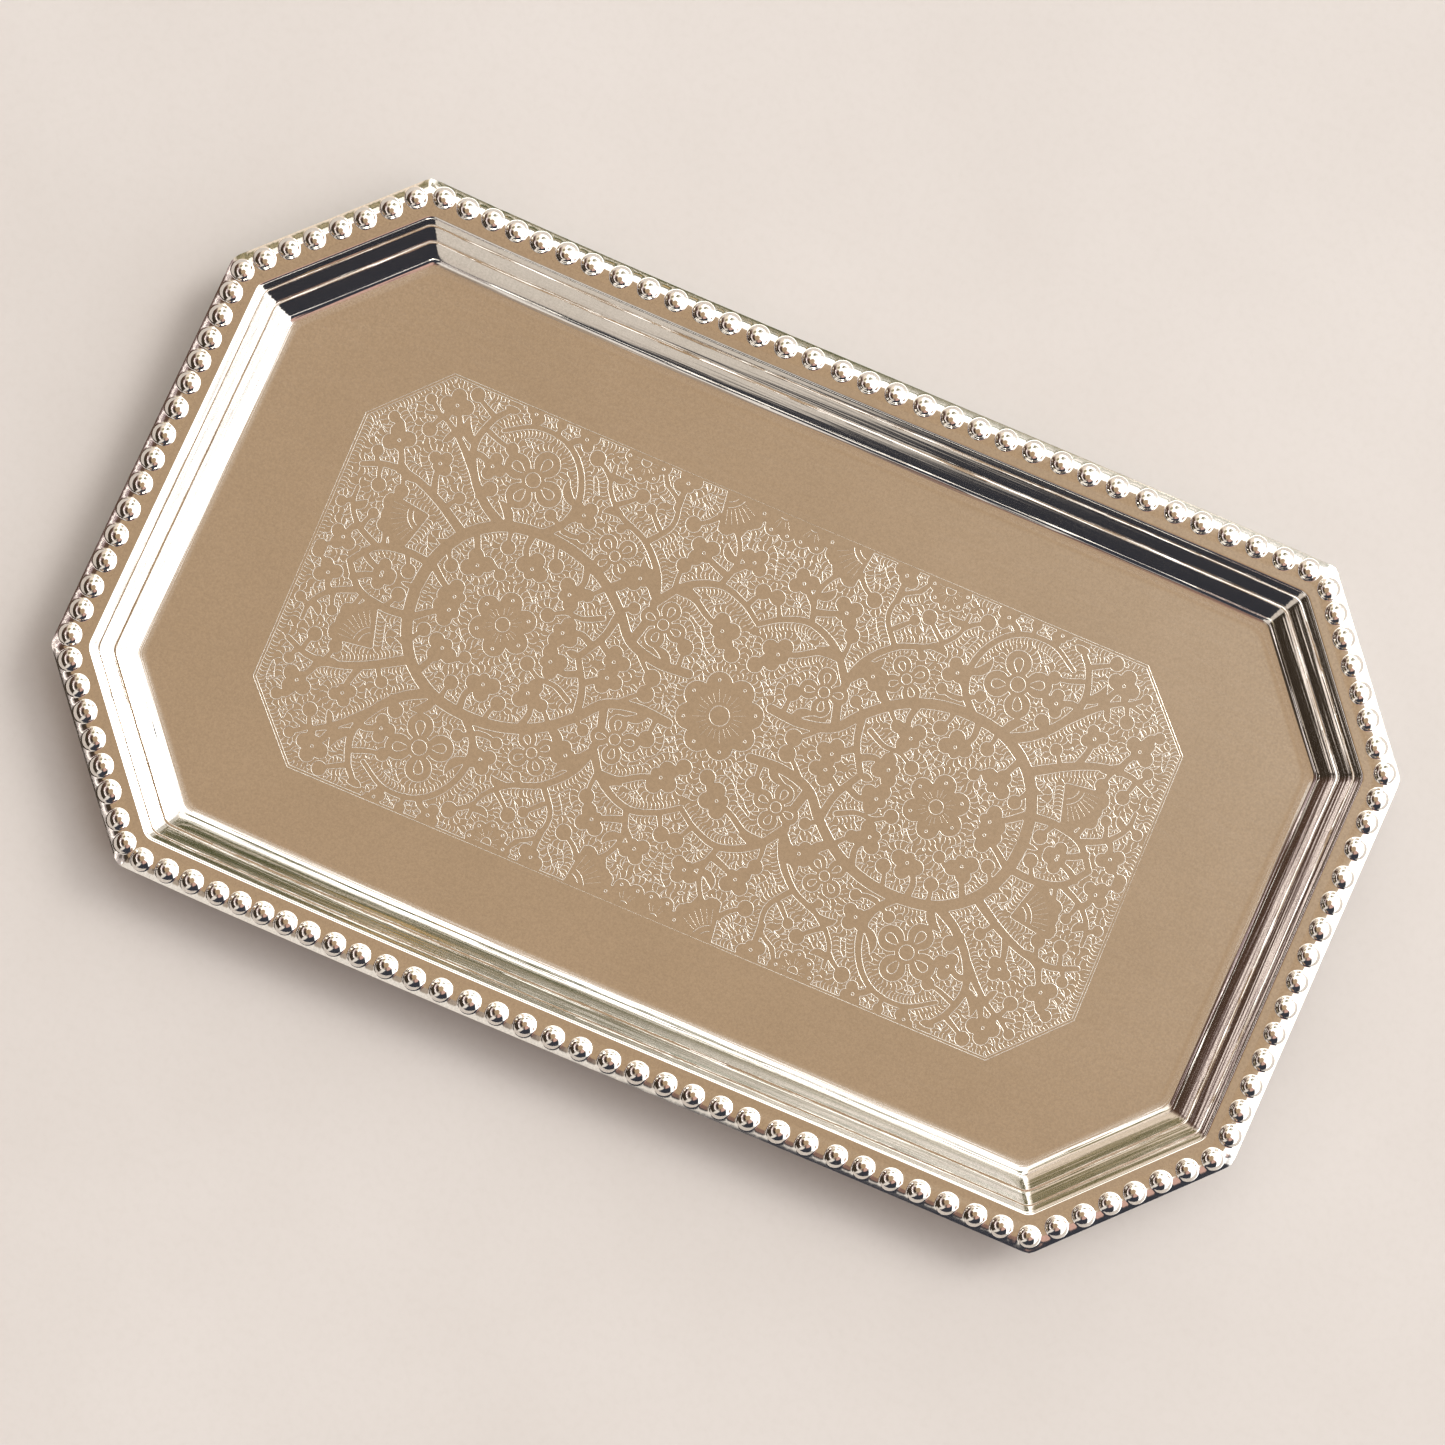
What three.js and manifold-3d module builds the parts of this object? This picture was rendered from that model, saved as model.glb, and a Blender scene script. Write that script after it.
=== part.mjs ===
// Eight-sided serving tray of plated sheet metal with a beaded border.
//
// The tray is a shallow pressed pan (flat floor, moulded wall, flat flange) whose flange carries
// eight lengths of beaded border: four straight ones along the sides and four bent ones that turn
// the cut corners. Each length laps the flange from above and turns down over its raw edge.
//
// Frame: millimetres, +X along the long side, +Y to the back, +Z up. The origin is the middle of
// the underside, which is the plane that the tray stands on.
import * as THREE from 'three';
import { mergeVertices } from 'three/addons/utils/BufferGeometryUtils.js';
import Module from 'manifold-3d';

const wasm = await Module();
wasm.setup();

// ---------------------------------------------------------------- driving dimensions, mm
const HALF_LENGTH = 177.5;     // outer edge of the border, along X
const HALF_WIDTH = 104.25;     // outer edge of the border, along Y
const CUT_X = 41.0;            // what each cut corner takes off the long side
const CUT_Y = 45.6;            // what each cut corner takes off the end
const SHEET = 1.0;             // thickness of the pan
const FLANGE_Z = 17.0;         // top of the flange
const FLANGE_EDGE = 1.1;       // the pan's raw edge, inward of the border's outer edge

const GAP = 0.3;               // solder line between border and flange
const BORDER_INNER = 7.5;      // inner edge of the border
const BORDER_TOP = 0.7;        // border's flat top, above the flange
const BORDER_SKIRT = 1.9;      // how far the border turns down past the flange's top
const SKIRT_T = 0.7;           // thickness of the turned-down skirt
const BUTT_GAP = 0.3;          // gap where two border lengths meet
const MIN_STUB = 7.0;          // least straight run on a bent length, past the corner

const BEAD_INSET = 3.9;        // bead row, inward of the outer edge
const BEAD_ROW_R = 7.0;        // radius with which the bead row turns a corner
const BEAD_R = 3.2;            // bead radius at its foot
const BEAD_TOP = 2.0;          // bead crown, above the flange
const BEAD_SIDES = 8;

// Bead centres, as distances along the bead row from the start of its back-left bend. The
// pitch wanders a little, as on a border punched by hand, and closes up near the front-left corner.
const BEADS = [
  7.4, 15.1, 23.3, 30.8, 38.9, 46.6, 54.3, 61.5, 68.4, 75.6, 82.6, 89.5, 96.3, 103.9, 112.0, 119.5,
  126.8, 134.6, 142.3, 150.0, 157.7, 164.7, 171.9, 178.9, 186.2, 193.4, 201.0, 208.4, 215.6, 223.3, 229.9, 236.6,
  244.0, 251.4, 259.1, 265.8, 272.6, 279.4, 286.3, 294.0, 301.5, 309.5, 317.9, 325.9, 334.4, 342.6, 350.8, 359.4,
  367.6, 376.1, 384.3, 392.8, 401.1, 409.4, 417.6, 426.5, 435.0, 443.9, 452.1, 460.3, 468.5, 477.1, 485.5, 493.3,
  501.7, 509.7, 517.7, 525.7, 533.2, 541.1, 549.0, 556.8, 565.1, 572.6, 580.3, 588.2, 596.2, 604.2, 612.0, 620.0,
  627.9, 635.9, 643.8, 652.4, 660.5, 667.6, 675.0, 682.5, 690.6, 698.2, 706.0, 713.7, 721.0, 728.0, 736.1, 743.8,
  752.0, 760.3, 768.6, 776.7, 785.0, 794.0, 802.6, 810.9, 819.2, 827.5, 835.6, 843.7, 852.0, 860.3, 868.7, 876.7,
  885.3, 893.6, 901.9, 910.3, 918.2, 926.5, 934.8, 943.1, 951.7, 959.3, 967.1, 974.5, 981.9, 989.4, 996.6,
];

// Section of the pan's upper face, from the raw edge in to the floor: [inset from the outer edge,
// height above or below the flange's top, radius that the ring turns each corner with].
const PAN_SECTION = [
  [FLANGE_EDGE, -1.05, 1.0],
  [3.8, 0, 2.5],
  [9.6, 0, 3.6],
  [10.3, -0.4, 3.5],
  [11.5, -2.6, 3.3],
  [12.1, -2.9, 3.3],
  [14.9, -8.3, 2.8],
  [15.6, -8.6, 2.8],
  [17.9, -13.1, 2.4],
  [19.4, -15.2, 2.4],
  [22.0, -16.0, 2.8],
];
const CORNER_STEPS = 3;        // facets round each corner of the pan

// ---------------------------------------------------------------- outline
const a = HALF_LENGTH, b = HALF_WIDTH;
const V = [
  [-(a - CUT_X), b], [-a, b - CUT_Y], [-a, -(b - CUT_Y)], [-(a - CUT_X), -b],
  [a - CUT_X, -b], [a, -(b - CUT_Y)], [a, b - CUT_Y], [a - CUT_X, b],
].map(([x, y]) => new THREE.Vector2(x, y));
const N = V.length;
const DIR = V.map((v, i) => V[(i + 1) % N].clone().sub(v).normalize());
const IN = DIR.map((d) => new THREE.Vector2(-d.y, d.x));          // inward normals, outline is CCW
const LEN = V.map((v, i) => V[(i + 1) % N].distanceTo(v));

/** Corner i of the outline moved inward by t. */
function corner(i, t) {
  const j = (i + N - 1) % N;
  const n0 = IN[j], n1 = IN[i];
  const m = n0.clone().add(n1);
  const k = t / (1 + n0.dot(n1));
  return V[i].clone().addScaledVector(m, k);
}

/** The arc with which the outline, moved inward by t, turns corner i with radius r. */
function bend(i, t, r, steps) {
  const j = (i + N - 1) % N;
  const v = corner(i, t);
  const turn = Math.acos(DIR[j].dot(DIR[i]));
  const start = v.clone().addScaledVector(DIR[j], -r * Math.tan(turn / 2));
  const c = start.clone().addScaledVector(IN[j], r);
  const a0 = Math.atan2(start.y - c.y, start.x - c.x);
  const pts = [];
  for (let s = 0; s <= steps; s++) {
    const g = a0 + (turn * s) / steps;
    pts.push(new THREE.Vector2(c.x + r * Math.cos(g), c.y + r * Math.sin(g)));
  }
  return pts;
}

function ring(t, r) {
  const pts = [];
  for (let i = 0; i < N; i++) pts.push(...bend(i, t, r, CORNER_STEPS));
  return pts;
}

// ---------------------------------------------------------------- mesh helpers
function geometry(positions, indices) {
  const g = new THREE.BufferGeometry();
  g.setAttribute('position', new THREE.Float32BufferAttribute(positions, 3));
  g.setIndex(indices);
  return g;
}

function solid(geo) {
  const g = geo.clone();
  g.deleteAttribute('normal');
  g.deleteAttribute('uv');
  const m = mergeVertices(g, 1e-5);
  return new wasm.Manifold(new wasm.Mesh({
    numProp: 3,
    vertProperties: new Float32Array(m.attributes.position.array),
    triVerts: new Uint32Array(m.index.array),
  }));
}

function fromSolid(s) {
  const m = s.getMesh();
  const g = geometry(Array.from(m.vertProperties), Array.from(m.triVerts));
  g.computeVertexNormals();
  return g;
}

// ---------------------------------------------------------------- the pan
/** Lower face of the sheet: the upper section moved one sheet thickness to the outside. */
function lowerSection(section, t) {
  const out = [];
  for (let k = 0; k < section.length; k++) {
    const [x, z, r] = section[k];
    const p = section[Math.max(k - 1, 0)], q = section[Math.min(k + 1, section.length - 1)];
    const d0 = new THREE.Vector2(x - p[0], z - p[1]), d1 = new THREE.Vector2(q[0] - x, q[1] - z);
    const u0 = (k === 0 ? d1 : d0).normalize(), u1 = (k === section.length - 1 ? new THREE.Vector2(1, 0) : d1).normalize();
    const n0 = new THREE.Vector2(u0.y, -u0.x), n1 = new THREE.Vector2(u1.y, -u1.x);
    const m = n0.clone().add(n1).multiplyScalar(t / (1 + n0.dot(n1)));
    out.push([x + m.x, z + m.y, r]);
  }
  return out;
}

function panGeometry() {
  const upper = PAN_SECTION.map(([t, z, r]) => [t, z + FLANGE_Z, r]);
  const lower = lowerSection(upper, SHEET);
  lower[lower.length - 1][1] = 0;
  const positions = [], indices = [];
  const per = N * (CORNER_STEPS + 1);
  const rings = [...upper, ...lower.reverse()];
  for (const [t, z, r] of rings) for (const p of ring(t, r)) positions.push(p.x, p.y, z);
  const count = rings.length;
  const half = upper.length;
  for (let k = 0; k < count; k++) {
    if (k === half - 1) continue;                                   // floor: closed by the two fans
    const k2 = (k + 1) % count;
    for (let i = 0; i < per; i++) {
      const j = (i + 1) % per;
      const p = k * per + i, q = k * per + j, s = k2 * per + i, u = k2 * per + j;
      indices.push(p, q, u, p, u, s);
    }
  }
  const top = positions.length / 3;
  positions.push(0, 0, upper[half - 1][1]);
  positions.push(0, 0, 0);
  for (let i = 0; i < per; i++) {
    const j = (i + 1) % per;
    indices.push((half - 1) * per + i, (half - 1) * per + j, top);
    indices.push(half * per + j, half * per + i, top + 1);
  }
  return geometry(positions, indices);
}

// ---------------------------------------------------------------- bead row
/** The bead row as a fine polyline that starts at the back-left bend and runs anticlockwise. */
const ROW = [];
for (let i = 0; i < N; i++) ROW.push(...bend(i, BEAD_INSET, BEAD_ROW_R, 16));
const ROW_S = [0];
for (let i = 1; i <= ROW.length; i++) ROW_S.push(ROW_S[i - 1] + ROW[i % ROW.length].distanceTo(ROW[i - 1]));

function rowPoint(s) {
  let i = 1;
  while (i < ROW_S.length - 1 && ROW_S[i] < s) i++;
  const f = (s - ROW_S[i - 1]) / (ROW_S[i] - ROW_S[i - 1]);
  return ROW[i - 1].clone().lerp(ROW[i % ROW.length], f);
}

const beads = BEADS.map((s) => {
  const p = rowPoint(s);
  // the side whose outer edge is nearest
  let side = 0, best = Infinity;
  for (let i = 0; i < N; i++) {
    const r = p.clone().sub(V[i]);
    const along = r.dot(DIR[i]), off = r.dot(IN[i]);
    if (along > -1 && along < LEN[i] + 1 && off < best) { best = off; side = i; }
  }
  return { p, side, along: p.clone().sub(V[side]).dot(DIR[side]) };
});

function beadGeometry(p) {
  const profile = [
    [0, -3], [BEAD_R, -3], [BEAD_R, 0.3], [BEAD_R * 0.7, 1.25], [0, BEAD_TOP],
  ].map(([x, y]) => new THREE.Vector2(x, y));
  const g = new THREE.LatheGeometry(profile, BEAD_SIDES);
  g.rotateX(Math.PI / 2);
  g.translate(p.x, p.y, FLANGE_Z);
  return g;
}

// ---------------------------------------------------------------- border lengths
const z0 = FLANGE_Z;
/** Lower face of the border, which follows the flange's shoulder: [inset from the outer edge, height]. */
const BORDER_UNDER = [
  [0, z0 - BORDER_SKIRT],
  [SKIRT_T, z0 - BORDER_SKIRT],
  [SKIRT_T, z0 - 1.2 + GAP],
  [3.6, z0 + GAP],
  [BORDER_INNER, z0 + GAP],
];
/** Section of the border between the beads. */
const BORDER_SECTION = [
  ...BORDER_UNDER,
  [BORDER_INNER, z0 + GAP + 0.2],
  [BORDER_INNER - 0.5, z0 + BORDER_TOP],
  [3.4, z0 + BORDER_TOP],
  [0, z0 - 0.9],
];
/** All that lies above the border's lower face: what the beads are trimmed to. */
const ABOVE_SECTION = [
  ...BORDER_UNDER,
  [BORDER_INNER + 1.5, z0 + GAP],
  [BORDER_INNER + 1.5, z0 + 6],
  [0, z0 + 6],
];

const cutAt = (i, d) => (t) => V[i].clone().addScaledVector(DIR[i], d).addScaledVector(IN[i], t);
const mitreAt = (i) => (t) => corner(i % N, t);

function sweep(section, stations) {
  const positions = [], indices = [];
  const n = section.length;
  for (const st of stations) {
    for (const [t, z] of section) {
      const p = st(t);
      positions.push(p.x, p.y, z);
    }
  }
  for (let k = 0; k + 1 < stations.length; k++) {
    for (let i = 0; i < n; i++) {
      const j = (i + 1) % n;
      const p = k * n + i, q = k * n + j, s = p + n, u = q + n;
      indices.push(p, q, u, p, u, s);
    }
  }
  const contour = section.map(([t, z]) => new THREE.Vector2(t, z));
  const faces = THREE.ShapeUtils.triangulateShape(contour, []);
  const last = (stations.length - 1) * n;
  for (const [p, q, r] of faces) {
    indices.push(p, r, q);
    indices.push(last + p, last + q, last + r);
  }
  return geometry(positions, indices);
}

/** Where the straight length on side i starts and ends: midway between two beads. */
function butts(i) {
  const d = beads.filter((q) => q.side === i).map((q) => q.along).sort((x, y) => x - y);
  let lo = 0, hi = LEN[i];
  for (let k = 0; k + 1 < d.length; k++) {
    const m = (d[k] + d[k + 1]) / 2;
    if (m >= MIN_STUB && d[k + 1] - d[k] > 6.9) { lo = m; break; }
  }
  for (let k = d.length - 1; k > 0; k--) {
    const m = (d[k] + d[k - 1]) / 2;
    if (LEN[i] - m >= MIN_STUB && d[k] - d[k - 1] > 6.9) { hi = m; break; }
  }
  return [lo, hi];
}
const BUTTS = {};
for (const i of [1, 3, 5, 7]) BUTTS[i] = butts(i);

function borderSolid(stations, owned) {
  let row = null;
  for (const q of owned) {
    const bead = solid(beadGeometry(q.p));
    row = row ? row.add(bead) : bead;
  }
  row = row.intersect(solid(sweep(ABOVE_SECTION, stations)));
  return solid(sweep(BORDER_SECTION, stations)).add(row);
}

function straightLength(i) {
  const [lo, hi] = BUTTS[i];
  const g = BUTT_GAP / 2;
  return borderSolid(
    [cutAt(i, lo + g), cutAt(i, hi - g)],
    beads.filter((q) => q.side === i && q.along > lo && q.along < hi),
  );
}

function bentLength(i) {
  const before = (i + N - 1) % N, after = (i + 1) % N;
  const g = BUTT_GAP / 2;
  const from = BUTTS[before][1], to = BUTTS[after][0];
  return borderSolid(
    [cutAt(before, from + g), mitreAt(i), mitreAt(i + 1), cutAt(after, to - g)],
    beads.filter((q) => q.side === i || (q.side === before && q.along > from) || (q.side === after && q.along < to)),
  );
}

// ---------------------------------------------------------------- assembly
const trayMetal = new THREE.MeshStandardMaterial({ color: 0xcfc3b0, roughness: 0.2, metalness: 1.0 });
const borderMetal = new THREE.MeshStandardMaterial({ color: 0xd9d6d0, roughness: 0.12, metalness: 1.0 });

const tray = new THREE.Group();

function addMesh(parent, name, geo, material) {
  geo.computeVertexNormals();
  const mesh = new THREE.Mesh(geo, material.clone());
  mesh.name = name;
  parent.add(mesh);
  return mesh;
}

addMesh(tray, 'tray_pan', panGeometry(), trayMetal);

const border = new THREE.Group();
tray.add(border);
const BORDER_LENGTHS = [
  ['bead_border_corner_back_left', 0],
  ['bead_border_end_left', 1],
  ['bead_border_corner_front_left', 2],
  ['bead_border_long_front', 3],
  ['bead_border_corner_front_right', 4],
  ['bead_border_end_right', 5],
  ['bead_border_corner_back_right', 6],
  ['bead_border_long_back', 7],
];
for (const [name, i] of BORDER_LENGTHS) {
  addMesh(border, name, fromSolid(i % 2 ? straightLength(i) : bentLength(i)), borderMetal);
}

export default tray;
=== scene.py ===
# Eight-sided serving tray with a beaded border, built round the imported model. Metres, +Z up.
import bpy, bmesh, math
import numpy as np
from mathutils import Matrix, Vector


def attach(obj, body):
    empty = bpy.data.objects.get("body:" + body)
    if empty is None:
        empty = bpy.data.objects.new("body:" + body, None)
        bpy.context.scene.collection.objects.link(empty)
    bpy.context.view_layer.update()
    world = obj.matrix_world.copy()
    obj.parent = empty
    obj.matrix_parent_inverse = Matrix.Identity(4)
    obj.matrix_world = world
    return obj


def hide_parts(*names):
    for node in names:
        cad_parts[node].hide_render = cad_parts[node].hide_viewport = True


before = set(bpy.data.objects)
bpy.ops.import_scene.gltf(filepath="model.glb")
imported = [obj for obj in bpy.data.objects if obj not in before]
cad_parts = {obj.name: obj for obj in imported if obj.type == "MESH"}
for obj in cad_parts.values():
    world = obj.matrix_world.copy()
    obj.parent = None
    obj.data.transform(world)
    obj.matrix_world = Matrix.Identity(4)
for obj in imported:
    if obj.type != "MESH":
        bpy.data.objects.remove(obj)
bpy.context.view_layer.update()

MM = 0.001

# ------------------------------------------------------------------ camera
def make_camera():
    cam = bpy.data.cameras.new("camera")
    cam.sensor_fit = "HORIZONTAL"
    cam.sensor_width = 36.0
    cam.lens = 36.0 * 3300.0 / 1445.0
    cam.clip_start, cam.clip_end = 0.01, 20.0
    ob = bpy.data.objects.new("camera", cam)
    bpy.context.scene.collection.objects.link(ob)
    right = Vector((0.914562, 0.403646, 0.025433))
    up = Vector((-0.404425, 0.913357, 0.047106))
    back = Vector((-0.004215, -0.053367, 0.998566))
    m = Matrix((right, up, back)).transposed().to_4x4()
    m.translation = Vector((-4.524, -51.972, 925.693)) * MM
    ob.matrix_world = m
    bpy.context.scene.camera = ob
    return ob

camera = make_camera()

# ------------------------------------------------------------------ outline, as in the design (mm)
A, B, CX, CY = 177.5, 104.25, 41.0, 45.6
ZL = 17.0
V = np.array([[-(A - CX), B], [-A, B - CY], [-A, -(B - CY)], [-(A - CX), -B],
              [A - CX, -B], [A, -(B - CY)], [A, B - CY], [A - CX, B]])
NV = 8
DIR = np.roll(V, -1, 0) - V
LEN = np.hypot(*DIR.T)
DIR = DIR / LEN[:, None]
INN = np.c_[-DIR[:, 1], DIR[:, 0]]

def corner(i, t):
    j = (i - 1) % NV
    m = INN[j] + INN[i % NV]
    return V[i % NV] + m * (t / (1 + float(INN[j] @ INN[i % NV])))

def bend(i, t, r, steps):
    i %= NV
    j = (i - 1) % NV
    turn = math.acos(float(DIR[j] @ DIR[i]))
    start = corner(i, t) - DIR[j] * r * math.tan(turn / 2)
    c = start + INN[j] * r
    a0 = math.atan2(*(start - c)[::-1])
    g = a0 + turn * np.linspace(0, 1, steps + 1)
    return np.c_[c[0] + r * np.cos(g), c[1] + r * np.sin(g)]

SIDE_STEPS = [12, 24, 12, 54] * 2
def ring(t, r, steps=8):
    out = []
    for i in range(NV):
        b = bend(i, t, r, steps)
        nxt = bend(i + 1, t, r, steps)[0]
        n = SIDE_STEPS[i]
        f = np.linspace(0, 1, n + 1)[1:-1, None]
        out += [b, b[-1] + (nxt - b[-1]) * f]
    return np.vstack(out)

# ------------------------------------------------------------------ hand-made irregularity of the outline
# How far each corner of the outline stands from its ideal place, mm: the sheet is slightly skewed.
SKEW = np.array([[0.77, -1.76], [0.76, 1.14], [-0.96, 0.36], [-0.50, -1.95],
                 [-1.14, 1.18], [-0.53, 0.39], [0.34, -0.41], [1.34, 1.06]])

class Warp:
    """Thin-plate spline through the eight corners."""
    def __init__(self, P, D):
        n = len(P)
        K = self.u(np.hypot(*(P[:, None] - P[None]).transpose(2, 0, 1)))
        Q = np.c_[np.ones(n), P]
        Mx = np.zeros((n + 3, n + 3)); Mx[:n, :n] = K + 1e-6 * np.eye(n); Mx[:n, n:] = Q; Mx[n:, :n] = Q.T
        self.w = np.linalg.solve(Mx, np.vstack([D, np.zeros((3, 2))])); self.P = P
    @staticmethod
    def u(r):
        return np.where(r > 1e-9, r * r * np.log(np.maximum(r, 1e-9)), 0.0)
    def __call__(self, xy):
        K = self.u(np.hypot(xy[:, None, 0] - self.P[None, :, 0], xy[:, None, 1] - self.P[None, :, 1]))
        return xy + K @ self.w[:-3] + np.c_[np.ones(len(xy)), xy] @ self.w[-3:]
warp = Warp(V, SKEW)

# ------------------------------------------------------------------ mesh helpers
def make_object(name, verts, faces, materials, face_mats=None, sharp=None, do_warp=True, check=True):
    v = np.asarray(verts, float).copy()
    if do_warp:
        v[:, :2] = warp(v[:, :2])
    me = bpy.data.meshes.new(name)
    me.from_pydata((v * MM).tolist(), [], [tuple(f) for f in faces])
    if check:
        me.validate(clean_customdata=False)
    for m in materials:
        me.materials.append(m)
    if face_mats is not None:
        me.polygons.foreach_set("material_index", np.asarray(face_mats, np.int32))
    me.polygons.foreach_set("use_smooth", np.ones(len(me.polygons), bool))
    if sharp is not None:
        me.set_sharp_from_angle(angle=math.radians(sharp))
    me.update()
    ob = bpy.data.objects.new(name, me)
    bpy.context.scene.collection.objects.link(ob)
    return ob

def chaikin(P, n=2):
    """Rounds a polyline's corners; its ends stay."""
    P = np.asarray(P, float)
    for _ in range(n):
        q = P[:-1] * 0.75 + P[1:] * 0.25
        r = P[:-1] * 0.25 + P[1:] * 0.75
        mid = np.empty((2 * len(q), P.shape[1])); mid[0::2] = q; mid[1::2] = r
        P = np.vstack([P[:1], mid[1:-1], P[-1:]])
    return P

# ------------------------------------------------------------------ node helpers
def new_material(name):
    m = bpy.data.materials.new(name)
    m.use_nodes = True
    nt = m.node_tree
    nt.nodes.clear()
    out = nt.nodes.new("ShaderNodeOutputMaterial")
    bsdf = nt.nodes.new("ShaderNodeBsdfPrincipled")
    nt.links.new(bsdf.outputs[0], out.inputs[0])
    return m, nt, bsdf

def node(nt, kind, **kw):
    n = nt.nodes.new(kind)
    for k, v in kw.items():
        setattr(n, k, v)
    return n

def noise(nt, scale, detail=2.0, rough=0.5, stretch=(1, 1, 1), distortion=0.0):
    tc = node(nt, "ShaderNodeTexCoord")
    mp = node(nt, "ShaderNodeMapping")
    mp.inputs["Scale"].default_value = stretch
    nt.links.new(tc.outputs["Object"], mp.inputs["Vector"])
    nz = node(nt, "ShaderNodeTexNoise")
    nz.inputs["Scale"].default_value = scale
    nz.inputs["Detail"].default_value = detail
    nz.inputs["Roughness"].default_value = rough
    nz.inputs["Distortion"].default_value = distortion
    nt.links.new(mp.outputs[0], nz.inputs["Vector"])
    return nz.outputs["Fac"]

def map_range(nt, src, a, b, c, d, smooth=False):
    n = node(nt, "ShaderNodeMapRange")
    if smooth:
        n.interpolation_type = "SMOOTHSTEP"
    n.inputs["From Min"].default_value = a
    n.inputs["From Max"].default_value = b
    n.inputs["To Min"].default_value = c
    n.inputs["To Max"].default_value = d
    nt.links.new(src, n.inputs["Value"])
    return n.outputs["Result"]

def mix_rgb(nt, fac, c0, c1, mode="MIX"):
    n = node(nt, "ShaderNodeMix", data_type="RGBA", blend_type=mode)
    if isinstance(fac, float):
        n.inputs["Factor"].default_value = fac
    else:
        nt.links.new(fac, n.inputs["Factor"])
    for s, c in ((n.inputs["A"], c0), (n.inputs["B"], c1)):
        pass
    ins = [i for i in n.inputs if i.type == "RGBA"]
    for s, c in zip(ins, (c0, c1)):
        if isinstance(c, tuple):
            s.default_value = (*c, 1.0)
        else:
            nt.links.new(c, s)
    return [o for o in n.outputs if o.type == "RGBA"][0]

def bump(nt, bsdf, parts):
    """parts: (height socket, strength, distance in m), chained."""
    prev = None
    for h, strength, dist in parts:
        b = node(nt, "ShaderNodeBump")
        b.inputs["Strength"].default_value = strength
        b.inputs["Distance"].default_value = dist
        nt.links.new(h, b.inputs["Height"])
        if prev is not None:
            nt.links.new(prev, b.inputs["Normal"])
        prev = b.outputs["Normal"]
    nt.links.new(prev, bsdf.inputs["Normal"])

# ------------------------------------------------------------------ materials
def silver(name, base, dark, rough_lo, rough_hi, grain, wave, wall_rough=None):
    """Polished plate: fine lengthwise grain, faint cloudiness, a slow waviness of the sheet."""
    m, nt, bsdf = new_material(name)
    cloud = noise(nt, 26.0, 4.0, 0.55)
    fine = noise(nt, 900.0, 2.0, 0.6, stretch=(0.10, 1.0, 1.0))
    speck = noise(nt, 2600.0, 1.0, 0.5)
    col = mix_rgb(nt, map_range(nt, cloud, 0.35, 0.7, 0.0, 1.0), base, dark)
    grit = noise(nt, 1500.0, 2.0, 0.7)
    col = mix_rgb(nt, map_range(nt, grit, 0.35, 0.75, 0.0, 0.34), col, tuple(0.55 * c for c in dark))
    nt.links.new(col, bsdf.inputs["Base Color"])
    bsdf.inputs["Metallic"].default_value = 1.0
    r = map_range(nt, fine, 0.3, 0.7, rough_lo, rough_hi)
    if wall_rough is not None:                           # the wall is polished brighter than the floor
        tc = node(nt, "ShaderNodeTexCoord"); sp = node(nt, "ShaderNodeSeparateXYZ")
        nt.links.new(tc.outputs["Object"], sp.inputs[0])
        for z0, z1, rr in ((0.00101, 0.00110, 0.20), (0.00130, 0.00165, wall_rough)):      # its foot is matt
            up = map_range(nt, sp.outputs[2], z0, z1, 0.0, 1.0, True)
            mx = node(nt, "ShaderNodeMix", data_type="FLOAT")
            nt.links.new(up, mx.inputs["Factor"]); nt.links.new(r, mx.inputs["A"]); mx.inputs["B"].default_value = rr
            r = mx.outputs[0]
    nt.links.new(r, bsdf.inputs["Roughness"])
    slow = noise(nt, 38.0, 2.0, 0.5)
    bump(nt, bsdf, [(slow, wave, 0.0006), (fine, grain, 0.00002), (speck, grain * 0.8, 0.00001)])
    return m

def etched(name):
    m, nt, bsdf = new_material(name)
    n1 = noise(nt, 1500.0, 2.0, 0.6)
    nt.links.new(mix_rgb(nt, map_range(nt, n1, 0.35, 0.65, 0.0, 1.0), (0.66, 0.635, 0.585), (0.46, 0.425, 0.37)), bsdf.inputs["Base Color"])
    bsdf.inputs["Metallic"].default_value = 1.0
    nt.links.new(map_range(nt, n1, 0.3, 0.7, 0.30, 0.42), bsdf.inputs["Roughness"])
    return m

MAT_PAN = silver("tray_metal", (0.86, 0.83, 0.79), (0.82, 0.79, 0.745), 0.085, 0.125, 0.16, 0.07, 0.055)
MAT_BORDER = silver("border_metal", (0.88, 0.85, 0.80), (0.84, 0.80, 0.74), 0.07, 0.12, 0.12, 0.05)
MAT_ETCH = etched("etched_line")

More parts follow.
